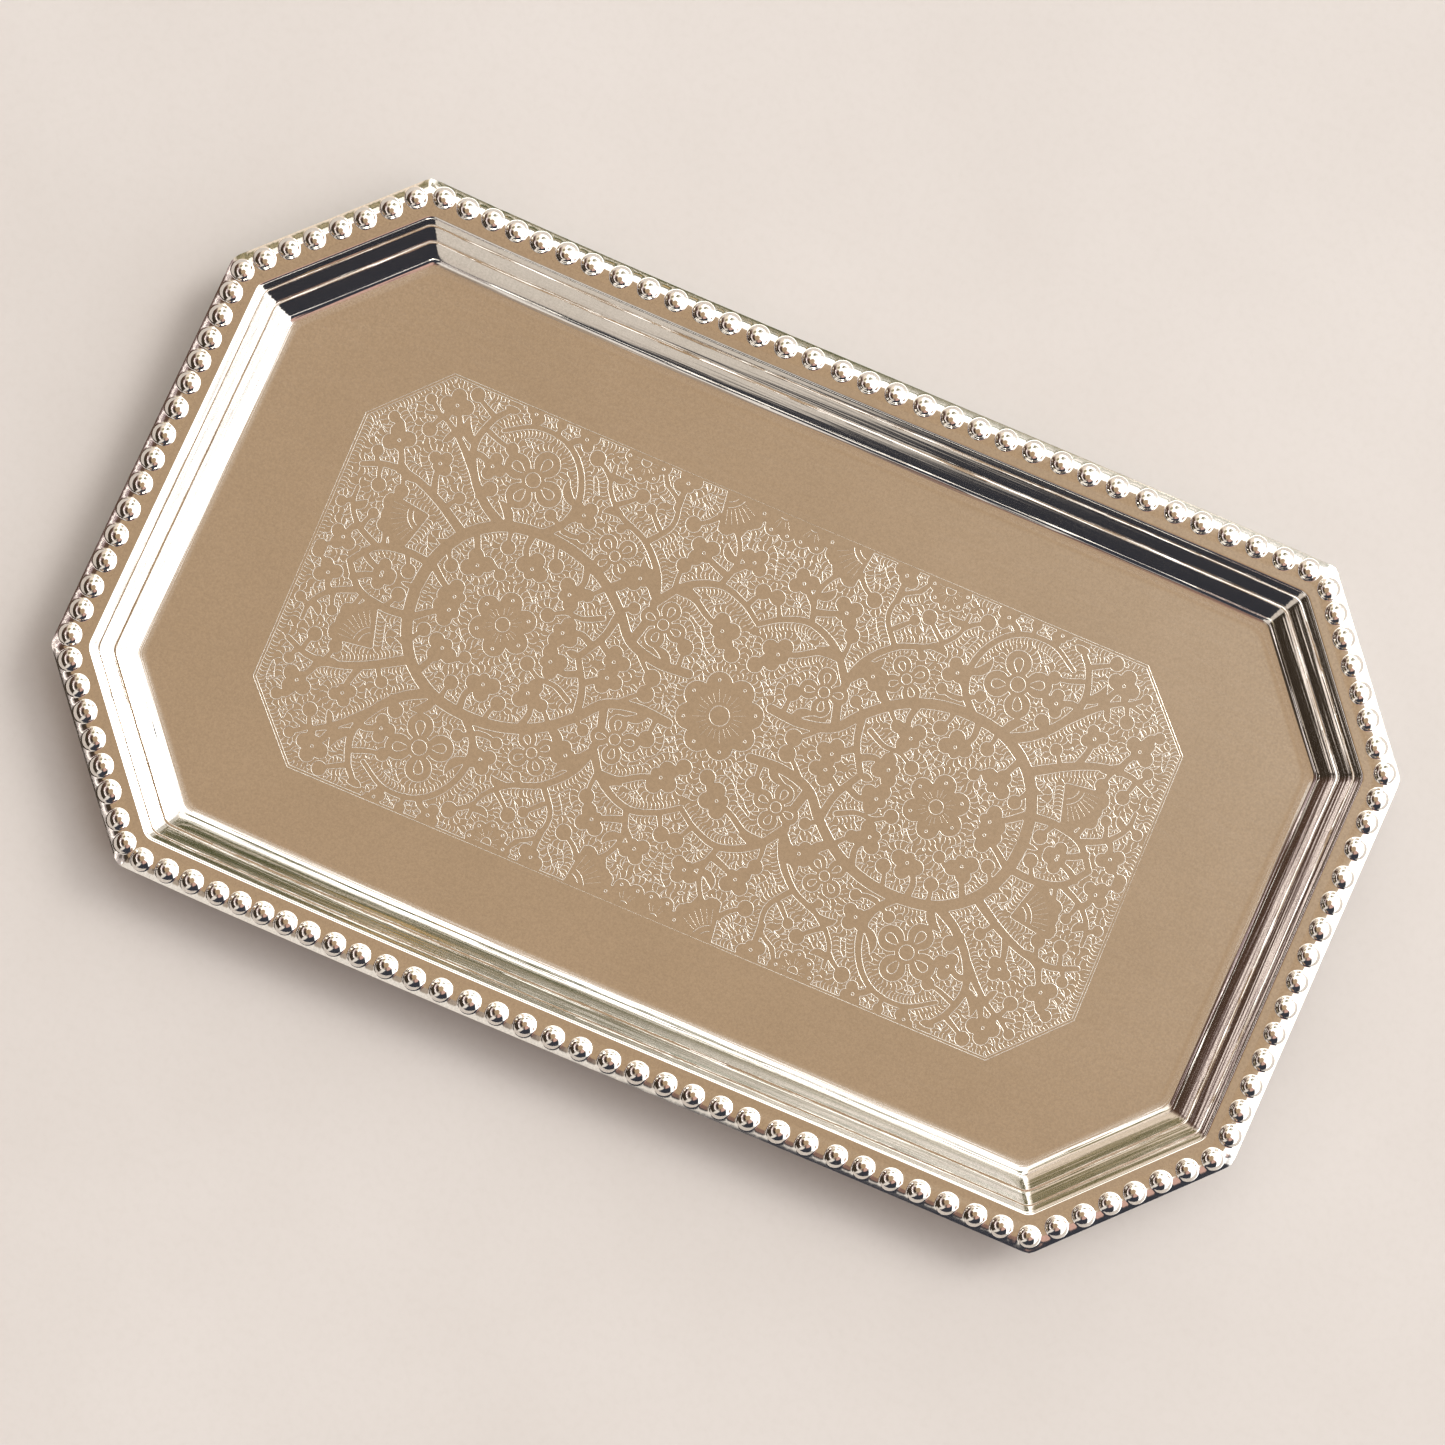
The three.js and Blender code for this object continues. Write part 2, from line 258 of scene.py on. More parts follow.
# ------------------------------------------------------------------ pan
def pan():
    # section of the upper face as pieces of [inset it ends at, slope there in degrees]: a rolled edge, three
    # bands of wall with a small raised step below each of the first two, a tight foot and a long heel
    def pieces(wall):
        return [(9.45, 0), (9.75, 14), (10.05, 33), (10.35, 52), (10.62, wall + 2), (11.56, wall - 2),
                (11.61, 25), (11.66, -4), (12.00, -6.5), (12.05, 20), (12.10, wall + 3), (14.72, wall - 3),
                (14.78, 25), (14.84, -4), (15.34, -6.5), (15.40, 20), (15.46, wall + 3), (18.25, wall - 4),
                (18.70, 48), (19.30, 32), (19.90, 19), (20.40, 12), (21.3, 7.5), (22.5, 3.5), (23.4, 0.0)]
    def section(wall):
        out = [[9.3, 0.0]]; at, sl, z = 9.3, 0.0, 0.0
        for e, g in pieces(wall):
            n = max(2, int(math.ceil((e - at) / 0.15)), min(5, int(math.ceil(abs(g - sl) / 9))))
            for k in range(n):
                a0 = sl + (g - sl) * (k + 0.5) / n
                z -= (e - at) / n * math.tan(math.radians(a0))
                out.append([at + (e - at) * (k + 1) / n, z])
            at, sl = e, g
        return out
    lo, hi = 50.0, 72.0
    for _ in range(40):
        mid = (lo + hi) / 2
        if section(mid)[-1][1] > -16.0: lo = mid
        else: hi = mid
    wall = np.array(section((lo + hi) / 2))
    wall = np.c_[wall, np.interp(wall[:, 0], [9.3, 12, 16, 18, 20, 23], [4.2, 4.0, 3.8, 4.0, 5.0, 7.5])]
    print("wall slope", round(mid, 2), "foot", wall[-1])
    upper = np.vstack([[[1.1, -1.05, 1.0], [3.8, 0, 2.5], [7.0, 0, 3.2]], wall])
    # lower face: one sheet thickness outside
    T = 0.9
    lower = []
    for k in range(len(upper)):
        p = upper[max(k - 1, 0)]; q = upper[min(k + 1, len(upper) - 1)]
        d = (q - p)[:2]; d /= np.hypot(*d)
        lower.append([upper[k, 0] + d[1] * T, upper[k, 1] - d[0] * T, upper[k, 2]])
    lower = np.array(lower)
    keep = list(range(0, 3)) + list(range(3, len(lower), 4)) + [len(lower) - 1]
    lower = lower[sorted(set(keep))]
    lower[:, 1] = np.maximum(lower[:, 1], -17.0)
    lower[-1, 1] = -17.0; lower[-2, 1] = -17.0
    lower = lower[np.r_[True, np.diff(lower[:, 0]) > 0.02]]
    verts, faces = [], []
    rings = []
    def add(xy, z):
        rings.append(len(verts)); verts.extend([(x, y, z) for x, y in xy]); return len(xy)
    # long, faint waves along the wall, as the hand finishing leaves them
    rng = np.random.default_rng(5)
    for k, (t, z, r) in enumerate(upper):
        xy = ring(t, r)
        amp = 0.020 * max(0.0, min(1.0, (t - 10.4) / 0.8, (22.5 - t) / 3.0))
        d = np.zeros(len(xy))
        if amp > 0:
            u = np.r_[0, np.cumsum(np.hypot(*np.diff(np.vstack([xy, xy[:1]]), axis=0).T))]
            u = u[:-1] / u[-1]
            for m in rng.integers(5, 26, 4):
                d += amp * 0.5 * np.sin(2 * np.pi * (m * u + rng.random()))
        p = upper[max(k - 1, 0)]; q = upper[min(k + 1, len(upper) - 1)]
        g = (q - p)[:2]; g /= np.hypot(*g)
        inward = -xy / np.hypot(*xy.T)[:, None]
        rings.append(len(verts))
        verts.extend(np.c_[xy - inward * (g[1] * d)[:, None], ZL + z + g[0] * d].tolist())
        K = len(xy)
    last = ring(upper[-1, 0], upper[-1, 2])
    for f in (0.96, 0.88, 0.76, 0.6, 0.42, 0.22):
        add(last * f, 1.0)
    top = len(verts); verts.append((0, 0, 1.0))
    ntop = len(rings)
    for k in range(ntop - 1):
        p, q = rings[k], rings[k + 1]
        for i in range(K):
            j = (i + 1) % K
            faces.append((p + i, p + j, q + j, q + i))
    for i in range(K):
        faces.append((rings[-1] + i, rings[-1] + (i + 1) % K, top))
    low0 = len(rings)
    for t, z, r in lower:
        add(ring(t, r), ZL + z)
    llast = ring(lower[-1, 0], lower[-1, 2])
    for f in (0.9, 0.6, 0.3):
        add(llast * f, 0.0)
    bot = len(verts); verts.append((0, 0, 0.0))
    for k in range(low0, len(rings) - 1):
        p, q = rings[k], rings[k + 1]
        for i in range(K):
            j = (i + 1) % K
            faces.append((p + j, p + i, q + i, q + j))
    for i in range(K):
        faces.append((rings[-1] + (i + 1) % K, rings[-1] + i, bot))
        j = (i + 1) % K
        faces.append((rings[0] + j, rings[0] + i, rings[low0] + i, rings[low0] + j))
    ob = make_object("tray_pan_visual", verts, faces, [MAT_PAN], sharp=28)
    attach(ob, "root"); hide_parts("tray_pan")
    return ob

# ------------------------------------------------------------------ beaded border
BEADS = np.array([
  7.4, 15.1, 23.3, 30.8, 38.9, 46.6, 54.3, 61.5, 68.4, 75.6, 82.6, 89.5, 96.3, 103.9, 112.0, 119.5,
  126.8, 134.6, 142.3, 150.0, 157.7, 164.7, 171.9, 178.9, 186.2, 193.4, 201.0, 208.4, 215.6, 223.3, 229.9, 236.6,
  244.0, 251.4, 259.1, 265.8, 272.6, 279.4, 286.3, 294.0, 301.5, 309.5, 317.9, 325.9, 334.4, 342.6, 350.8, 359.4,
  367.6, 376.1, 384.3, 392.8, 401.1, 409.4, 417.6, 426.5, 435.0, 443.9, 452.1, 460.3, 468.5, 477.1, 485.5, 493.3,
  501.7, 509.7, 517.7, 525.7, 533.2, 541.1, 549.0, 556.8, 565.1, 572.6, 580.3, 588.2, 596.2, 604.2, 612.0, 620.0,
  627.9, 635.9, 643.8, 652.4, 660.5, 667.6, 675.0, 682.5, 690.6, 698.2, 706.0, 713.7, 721.0, 728.0, 736.1, 743.8,
  752.0, 760.3, 768.6, 776.7, 785.0, 794.0, 802.6, 810.9, 819.2, 827.5, 835.6, 843.7, 852.0, 860.3, 868.7, 876.7,
  885.3, 893.6, 901.9, 910.3, 918.2, 926.5, 934.8, 943.1, 951.7, 959.3, 967.1, 974.5, 981.9, 989.4, 996.6])
INSET, ROW_R, EDGE_IN, MIN_STUB = 3.9, 7.0, 7.5, 7.0

class Row:
    """The bead row: arcs and straights, anticlockwise from the back-left bend."""
    def __init__(self):
        self.parts = []; s = 0.0
        self.mid = []
        for i in range(NV):
            j = (i - 1) % NV
            turn = math.acos(float(DIR[j] @ DIR[i])); k = ROW_R * math.tan(turn / 2)
            start = corner(i, INSET) - DIR[j] * k
            c = start + INN[j] * ROW_R
            self.parts.append(("arc", s, s + ROW_R * turn, c, math.atan2(*(start - c)[::-1]), i))
            self.mid.append(s + ROW_R * turn / 2); s += ROW_R * turn
            p0 = corner(i, INSET) + DIR[i] * k
            i2 = (i + 1) % NV; t2 = math.acos(float(DIR[i] @ DIR[i2]))
            p1 = corner(i2, INSET) - DIR[i] * ROW_R * math.tan(t2 / 2)
            L = float(np.hypot(*(p1 - p0)))
            self.parts.append(("line", s, s + L, p0, DIR[i], i)); s += L
        self.total = s
    def at(self, s):
        """Point and inward normal."""
        s = s % self.total
        for kind, a, b, p, q, i in self.parts:
            if s <= b + 1e-9:
                if kind == "arc":
                    g = q + (s - a) / ROW_R
                    n = -np.array([math.cos(g), math.sin(g)])
                    return p - n * ROW_R, n
                return p + q * (s - a), INN[i]
        return self.at(0.0)
    def outer(self, s):
        """Distance from the row out to the outline's edge."""
        p, n = self.at(s)
        ts = []
        for i in range(NV):
            den = float(-n @ INN[i])
            if den < -1e-6:
                ts.append(float((p - V[i]) @ INN[i]) / -den)
        ts = np.array(ts); k = 0.45                       # the corners of the outline are slightly rounded
        return float(ts.min() - k * math.log(np.exp(-(ts - ts.min()) / k).sum()))
row = Row()

def side_of(p):
    best, side = 1e9, 0
    for i in range(NV):
        r = p - V[i]; along = float(r @ DIR[i]); off = float(r @ INN[i])
        if -1 < along < LEN[i] + 1 and off < best:
            best, side = off, i
    return side, float((p - V[side]) @ DIR[side])

SIDES = [side_of(row.at(s)[0]) for s in BEADS]

def butts():
    """Where the border lengths meet, as distances along the row: side -> (start, end)."""
    out = {}
    for i in (1, 3, 5, 7):
        ks = [k for k in range(len(BEADS)) if SIDES[k][0] == i]
        ks.sort(key=lambda k: SIDES[k][1])
        lo = hi = None
        for a, b in zip(ks, ks[1:]):
            m = (SIDES[a][1] + SIDES[b][1]) / 2
            if lo is None and m >= MIN_STUB and SIDES[b][1] - SIDES[a][1] > 6.9:
                lo = (BEADS[a] + BEADS[b]) / 2
        for a, b in zip(ks[::-1], ks[-2::-1]):
            m = (SIDES[a][1] + SIDES[b][1]) / 2
            if hi is None and LEN[i] - m >= MIN_STUB and SIDES[a][1] - SIDES[b][1] > 6.9:
                hi = (BEADS[a] + BEADS[b]) / 2
        out[i] = (lo, hi)
    return out
BUTTS = butts()

def shoulder(e):
    """Height of the border between the beads, from the flange's top; e is the inset from the edge."""
    e = np.asarray(e, float)
    z = 0.16 - 1.22 * np.clip(1 - e / 3.9, 0, 1) ** 1.7
    f = np.clip((e - 5.2) / (EDGE_IN - 5.2), 0, 1)
    return z - 0.125 * f * f * (3 - 2 * f)

def bead_height(r, R):
    """A shallow dome with a soft foot."""
    k = R / 3.35
    r = np.asarray(r, float) / k
    Rs, rc, Re = 3.72, 2.72, 3.35
    side = math.sqrt(Rs * Rs - rc * rc)
    q = (rc / side) / (2 * (Re - rc))
    h1 = q * (Re - rc) ** 2
    cap = np.sqrt(np.maximum(Rs * Rs - np.minimum(r, rc) ** 2, 0)) - side + h1
    return k * np.where(r < rc, cap, q * np.clip(Re - r, 0, None) ** 2)

def border_piece(name, s_from, s_to, rng):
    if s_to < s_from:
        s_to += row.total
    own = []
    for k, s in enumerate(BEADS):
        for q in (s, s + row.total):
            if s_from < q < s_to:
                own.append((q, k))
    own.sort()
    cuts = [s_from + 0.01] + [(a[0] + b[0]) / 2 for a, b in zip(own, own[1:])] + [s_to - 0.01]
    NS, NT = 8, 10                                       # loop steps along the row and across it
    verts, faces = [], []
    index = {}
    def vid(key, p):
        if key is not None and key in index: return index[key]
        verts.append(tuple(p)); n = len(verts) - 1
        if key is not None: index[key] = n
        return n
    mids = [m + q for m in row.mid for q in (0, row.total)]
    # across positions, as fractions of the width from the outer edge to the inner one
    ft = np.array([0, 0.035, 0.09, 0.18, 0.3, 0.42, 0.55, 0.68, 0.81, 0.92, 1.0])
    lip_pts = []                                         # (s) of the outer boundary, for lip and underside
    svals_all = []
    for c, (sb, kb) in enumerate(own):
        s0, s1 = cuts[c], cuts[c + 1]
        sv = np.linspace(s0, s1, NS + 1)
        for m in mids:
            if s0 < m < s1:
                j = int(np.abs(sv - m)[1:-1].argmin()) + 1
                sv[j] = m
        svals_all += list(sv if c == 0 else sv[1:])
        def edge_point(s, f):
            p, n = row.at(s); do = row.outer(s)
            w = do + (EDGE_IN - INSET)
            tau = -do + f * w
            e = f * w * (EDGE_IN / w)                     # keeps the shoulder's shape where the corner is wider
            xy = p + n * tau
            return xy, e
        loop = []                                         # closed loop of boundary vertices, anticlockwise seen from above
        def bkey(s, f): return ("b", round(s, 5), round(f, 5))
        seq = [(s, 0.0) for s in sv] + [(s1, f) for f in ft[1:]] + [(s, 1.0) for s in sv[::-1][1:]] + [(s0, f) for f in ft[::-1][1:-1]]
        pb, nb = row.at(sb)
        dirb = np.array([nb[1], -nb[0]])
        pitch = min(s1 - sb, sb - s0) * 2
        R0 = min(3.42, pitch * 0.494) * (1 + 0.008 * rng.standard_normal())
        tall = 1 + 0.02 * rng.standard_normal()
        tilt = 0.15 + 0.015 * rng.standard_normal()
        cb = pb + 0.05 * rng.standard_normal(2)
        K = len(seq)
        pts = [edge_point(s, f) for s, f in seq]
        ring_ids = [vid(bkey(s, f), (*xy, ZL + float(shoulder(e)))) for (s, f), (xy, e) in zip(seq, pts)]
        bxy = np.array([verts[i][:2] for i in ring_ids]); be = np.array([e for _, e in pts])
        ang = np.arctan2(bxy[:, 1] - cb[1], bxy[:, 0] - cb[0])
        u = np.c_[np.cos(ang), np.sin(ang)]
        rings = [ring_ids]
        rb = np.hypot(*(bxy - cb).T)
        un = u @ nb
        def height(r):
            e = INSET + (be - INSET) * np.clip(r / rb, 0, 1)
            base = shoulder(e)
            w = np.clip(1 - r / R0, 0, 1); w = np.clip(w / 0.35, 0, 1); w = w * w * (3 - 2 * w)
            plane = 0.10 + tilt * un * r
            return ZL + base * (1 - w) + plane * w + tall * bead_height(r, R0)
        for f in (0.62, 0.30):
            r = R0 * 1.03 + np.maximum(rb - R0 * 1.03, 0.0) * f
            r = np.minimum(r, rb * (0.992 + 0.004 * f))
            z = height(r)
            rings.append([vid(None, (*(cb + u[i] * r[i]), z[i])) for i in range(K)])
        for rr in (1.0, 0.965, 0.93, 0.895, 0.86, 0.83, 0.80, 0.76, 0.70, 0.63, 0.55, 0.46, 0.36, 0.25, 0.13):
            r = np.minimum(np.full(K, R0 * rr), rb * (0.99 if rr == 1.0 else 0.988 * rr / 1.0 + 0.0))
            z = height(r)
            rings.append([vid(None, (*(cb + u[i] * r[i]), z[i])) for i in range(K)])
        H0 = 0.10 + tall * float(bead_height(0.0, R0))
        apex = vid(None, (*cb, ZL + H0))
        for a, b in zip(rings, rings[1:]):
            for i in range(K):
                j = (i + 1) % K
                faces.append((a[i], a[j], b[j], b[i]))
        for i in range(K):
            faces.append((rings[-1][i], rings[-1][(i + 1) % K], apex))
    # lip and underside, along the same stations
    under = [("o", 0.02, -1.16), ("o", 0.05, -1.66), ("o", 0.14, -1.78), ("o", 0.42, -1.78), ("o", 0.52, -1.62), ("o", 0.66, -1.02), ("o", 2.0, -0.40), ("o", 3.7, 0.02), ("o", 5.6, 0.015)]
    S = svals_all
    def bkey(s, f): return ("b", round(s, 5), round(f, 5))
    prev_cols = None
    cols = []
    for s in S:
        p, n = row.at(s); do = row.outer(s)
        k = do / INSET                                    # a corner is wider
        outer_id = index[bkey(s, 0.0)]; inner_id = index[bkey(s, 1.0)]
        col = [outer_id]
        for q, e, z in under:
            ee = e if e < 1 else e * (do + EDGE_IN - INSET) / EDGE_IN
            xy = p + n * (-do + ee)
            col.append(vid(None, (xy[0], xy[1], ZL + z)))
        xy = p + n * (EDGE_IN - INSET)
        col.append(vid(None, (xy[0], xy[1], ZL + 0.015)))
        col.append(inner_id)
        cols.append(col)
    for a, b in zip(cols, cols[1:]):
        for i in range(len(a) - 1):
            faces.append((a[i], a[i + 1], b[i + 1], b[i]))
    # ends
    for end, s in ((0, S[0]), (1, S[-1])):
        top = [index[bkey(s, f)] for f in ft]              # outer to inner
        col = cols[0] if end == 0 else cols[-1]
        poly = top + col[::-1][1:-1]
        faces.append(tuple(poly if end == 1 else poly[::-1]))
    ob = make_object(name + "_visual", verts, faces, [MAT_BORDER], sharp=38)
    bm = bmesh.new(); bm.from_mesh(ob.data)
    bmesh.ops.recalc_face_normals(bm, faces=bm.faces)
    bm.to_mesh(ob.data); bm.free()
    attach(ob, "root"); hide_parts(name)
    return ob

def borders():
    rng = np.random.default_rng(11)
    names = {1: "bead_border_end_left", 3: "bead_border_long_front", 5: "bead_border_end_right", 7: "bead_border_long_back"}
    bent = {0: "bead_border_corner_back_left", 2: "bead_border_corner_front_left", 4: "bead_border_corner_front_right", 6: "bead_border_corner_back_right"}
    for i, n in names.items():
        border_piece(n, *BUTTS[i], rng)
    for i, n in bent.items():
        border_piece(n, BUTTS[(i - 1) % NV][1], BUTTS[(i + 1) % NV][0], rng)

# ------------------------------------------------------------------ etched panel
# A generic floral line design. One quadrant is drawn, in mm from the panel's middle, and mirrored four ways.
PX, PY, PCX, PCY = 124.65, 60.05, 18.75, 19.85      # half-length, half-width and cut corners of the panel
RES = 0.125

def catmull(pts, n=10):
    P = np.array(pts, float)
    Q = np.vstack([2 * P[0] - P[1], P, 2 * P[-1] - P[-2]])
    out = []
    t = np.linspace(0, 1, n, endpoint=False)[:, None]
    for i in range(1, len(Q) - 2):
        p0, p1, p2, p3 = Q[i - 1], Q[i], Q[i + 1], Q[i + 2]
        out.append(0.5 * ((2 * p1) + (-p0 + p2) * t + (2 * p0 - 5 * p1 + 4 * p2 - p3) * t ** 2
                          + (-p0 + 3 * p1 - 3 * p2 + p3) * t ** 3))
    return np.vstack(out + [P[-1:]])

class Field:
    def __init__(self):
        self.nx = int(round(PX / RES)) + 2
        self.ny = int(round(PY / RES)) + 2
        self.x = np.arange(self.nx) * RES
        self.y = np.arange(self.ny) * RES
        self.d = np.full((self.ny, self.nx), 99.0, np.float32)
        self.lines = []            # explicit line work inside the motifs
    def window(self, x0, y0, x1, y1, m=9.0):
        i0 = max(int((x0 - m) / RES), 0); i1 = min(int((x1 + m) / RES) + 1, self.nx)
        j0 = max(int((y0 - m) / RES), 0); j1 = min(int((y1 + m) / RES) + 1, self.ny)
        if i1 <= i0 or j1 <= j0: return None
        return slice(j0, j1), slice(i0, i1)
    def put(self, w, v):
        self.d[w] = np.minimum(self.d[w], v)
    def disc(self, x, y, r):
        w = self.window(x - r, y - r, x + r, y + r)
        if w is None: return
        X, Y = self.x[None, w[1]], self.y[w[0], None]
        self.put(w, np.hypot(X - x, Y - y) - r)
    def stroke(self, pts, width):
        """pts (n,2), width (n,) half-widths"""
        pts = np.asarray(pts, float); width = np.broadcast_to(np.asarray(width, float), (len(pts),))
        for k in range(0, len(pts) - 1, 4):
            p = pts[k:k + 5]; ww = width[k:k + 5]
            w = self.window(p[:, 0].min(), p[:, 1].min(), p[:, 0].max(), p[:, 1].max(), 7.0)
            if w is None: continue
            X, Y = self.x[None, w[1]], self.y[w[0], None]
            best = None
            for i in range(len(p) - 1):
                a, b = p[i], p[i + 1]; ab = b - a; L2 = max(float(ab @ ab), 1e-9)
                t = np.clip(((X - a[0]) * ab[0] + (Y - a[1]) * ab[1]) / L2, 0, 1)
                v = np.hypot(X - a[0] - t * ab[0], Y - a[1] - t * ab[1]) - (ww[i] + t * (ww[i + 1] - ww[i]))
                best = v if best is None else np.minimum(best, v)
            self.put(w, best)

F = None

def vine(pts, w0, w1, wm=None, n=8):
    c = catmull(pts, n)
    s = np.r_[0, np.cumsum(np.hypot(*np.diff(c, axis=0).T))]; s /= s[-1]
    if wm is None: w = w0 + (w1 - w0) * s
    else: w = np.interp(s, [0, .5, 1], [w0, wm, w1]) * 0.5 + 0.5 * (w0 * (1 - s) ** 2 + 2 * wm * s * (1 - s) + w1 * s ** 2)
    F.stroke(c, 0.8 * w)
    return c

def leaf(x0, y0, x1, y1, bow, w):
    """A pointed, curved leaf from its foot to its tip."""
    a = np.array([x0, y0]); b = np.array([x1, y1]); d = b - a; nrm = np.array([-d[1], d[0]])
    t = np.linspace(0, 1, 14)[:, None]
    c = a + d * t + nrm * bow * 4 * t * (1 - t)
    ww = w * np.sin(np.pi * np.clip(t[:, 0] * 0.86 + 0.14, 0, 1)) ** 0.8
    F.stroke(c, np.maximum(ww, 0.05))

def berry(x, y, r, *stem, w0=0.9, w1=0.55):
    F.disc(x, y, r)
    if stem: vine([(x, y), *stem], w1, w0)

def clover(x, y, r, ang, n=3, stem=None, dot=True, w=0.8):
    """Blossom of n round lobes, on a stem."""
    for k in range(n):
        g = math.radians(ang + (k - (n - 1) / 2) * (92 if n == 3 else 360 / n))
        F.disc(x + 0.68 * r * math.cos(g), y + 0.68 * r * math.sin(g), 0.54 * r)
    F.disc(x, y, 0.5 * r)
    if n == 3:
        g = math.radians(ang + 180)
        F.disc(x + 0.42 * r * math.cos(g), y + 0.42 * r * math.sin(g), 0.36 * r)
    if stem: vine([(x, y), *stem], w, w * 1.5)
    if dot: F.lines.append(circle(x, y, 0.42, 8))

def circle(x, y, r, n=24):
    g = np.linspace(0, 2 * np.pi, n + 1)
    return np.c_[x + r * np.cos(g), y + r * np.sin(g)]

def loop(x, y, ang, r0, r1, w):
    """A drop-shaped line that opens away from the middle of a flower."""
    t = np.linspace(0.06, 0.94, 15)
    u = r0 + (r1 - r0) * (1 - np.cos(2 * np.pi * t)) / 2
    v = -w * np.sin(2 * np.pi * t) * (0.35 + 0.65 * (1 - np.cos(2 * np.pi * t)) / 2)
    c, s = math.cos(ang), math.sin(ang)
    return np.c_[x + u * c - v * s, y + u * s + v * c]

def flower4(x, y, r, ang, n=4):
    F.disc(x, y, 0.36 * r)
    for k in range(n):
        g = math.radians(ang) + 2 * math.pi * k / n
        F.disc(x + 0.66 * r * math.cos(g), y + 0.66 * r * math.sin(g), 0.4 * r * (4 / n) ** 0.35)
        F.lines.append(loop(x, y, g, 0.36 * r, 0.84 * r, 0.2 * r))
    F.lines.append(circle(x, y, 0.24 * r, 18))

def rosette(x, y, r, n, ang=0, rays=3):
    F.disc(x, y, 0.5 * r)
    for k in range(n):
        g = math.radians(ang) + 2 * math.pi * k / n
        F.disc(x + 0.67 * r * math.cos(g), y + 0.67 * r * math.sin(g), 0.335 * r * (6 / n) ** 0.6)
        F.lines.append(circle(x + 0.78 * r * math.cos(g), y + 0.78 * r * math.sin(g), 0.4, 8))
        for j in range(rays):
            h = g + (j - (rays - 1) / 2) * 0.27
            r0, r1 = 0.3 * r, (0.58 if j == (rays - 1) // 2 else 0.5) * r
            F.lines.append(np.array([[x + r0 * math.cos(h), y + r0 * math.sin(h)], [x + r1 * math.cos(h), y + r1 * math.sin(h)]]))
    F.lines.append(circle(x, y, 0.22 * r, 20))

def fan(x, y, r, a0, a1, n=9):
    """Half-open flower: a banded hub, fine rays and a notched rim."""
    t = np.radians(np.linspace(a0, a1, 40))
    m = 4
    rim = r * (0.93 + 0.07 * np.abs(np.sin((t - t[0]) / (t[-1] - t[0]) * np.pi * m)))
    # body, as overlapping spokes
    for g, q in zip(t[::2], rim[::2]):
        F.stroke(np.array([[x, y], [x + (q - 0.9) * math.cos(g), y + (q - 0.9) * math.sin(g)]]), [0.4, 0.9])
    for f in (0.3, 0.42):
        F.lines.append(np.c_[x + f * r * np.cos(t[2:-2]), y + f * r * np.sin(t[2:-2])][::3])
    for g in np.radians(np.linspace(a0 + 7, a1 - 7, n)):
        F.lines.append(np.array([[x + 0.46 * r * math.cos(g), y + 0.46 * r * math.sin(g)], [x + 0.78 * r * math.cos(g), y + 0.78 * r * math.sin(g)]]))

def inside_panel(x, y, inset):
    """Signed distance to the panel's border, inset; positive inside."""
    x = np.abs(x); y = np.abs(y)
    n = np.array([PCY, PCX]) / math.hypot(PCX, PCY)
    c = n[0] * (PX - PCX) + n[1] * PY
    return np.minimum(np.minimum(PX - inset - x, PY - inset - y), c - inset - (n[0] * x + n[1] * y))

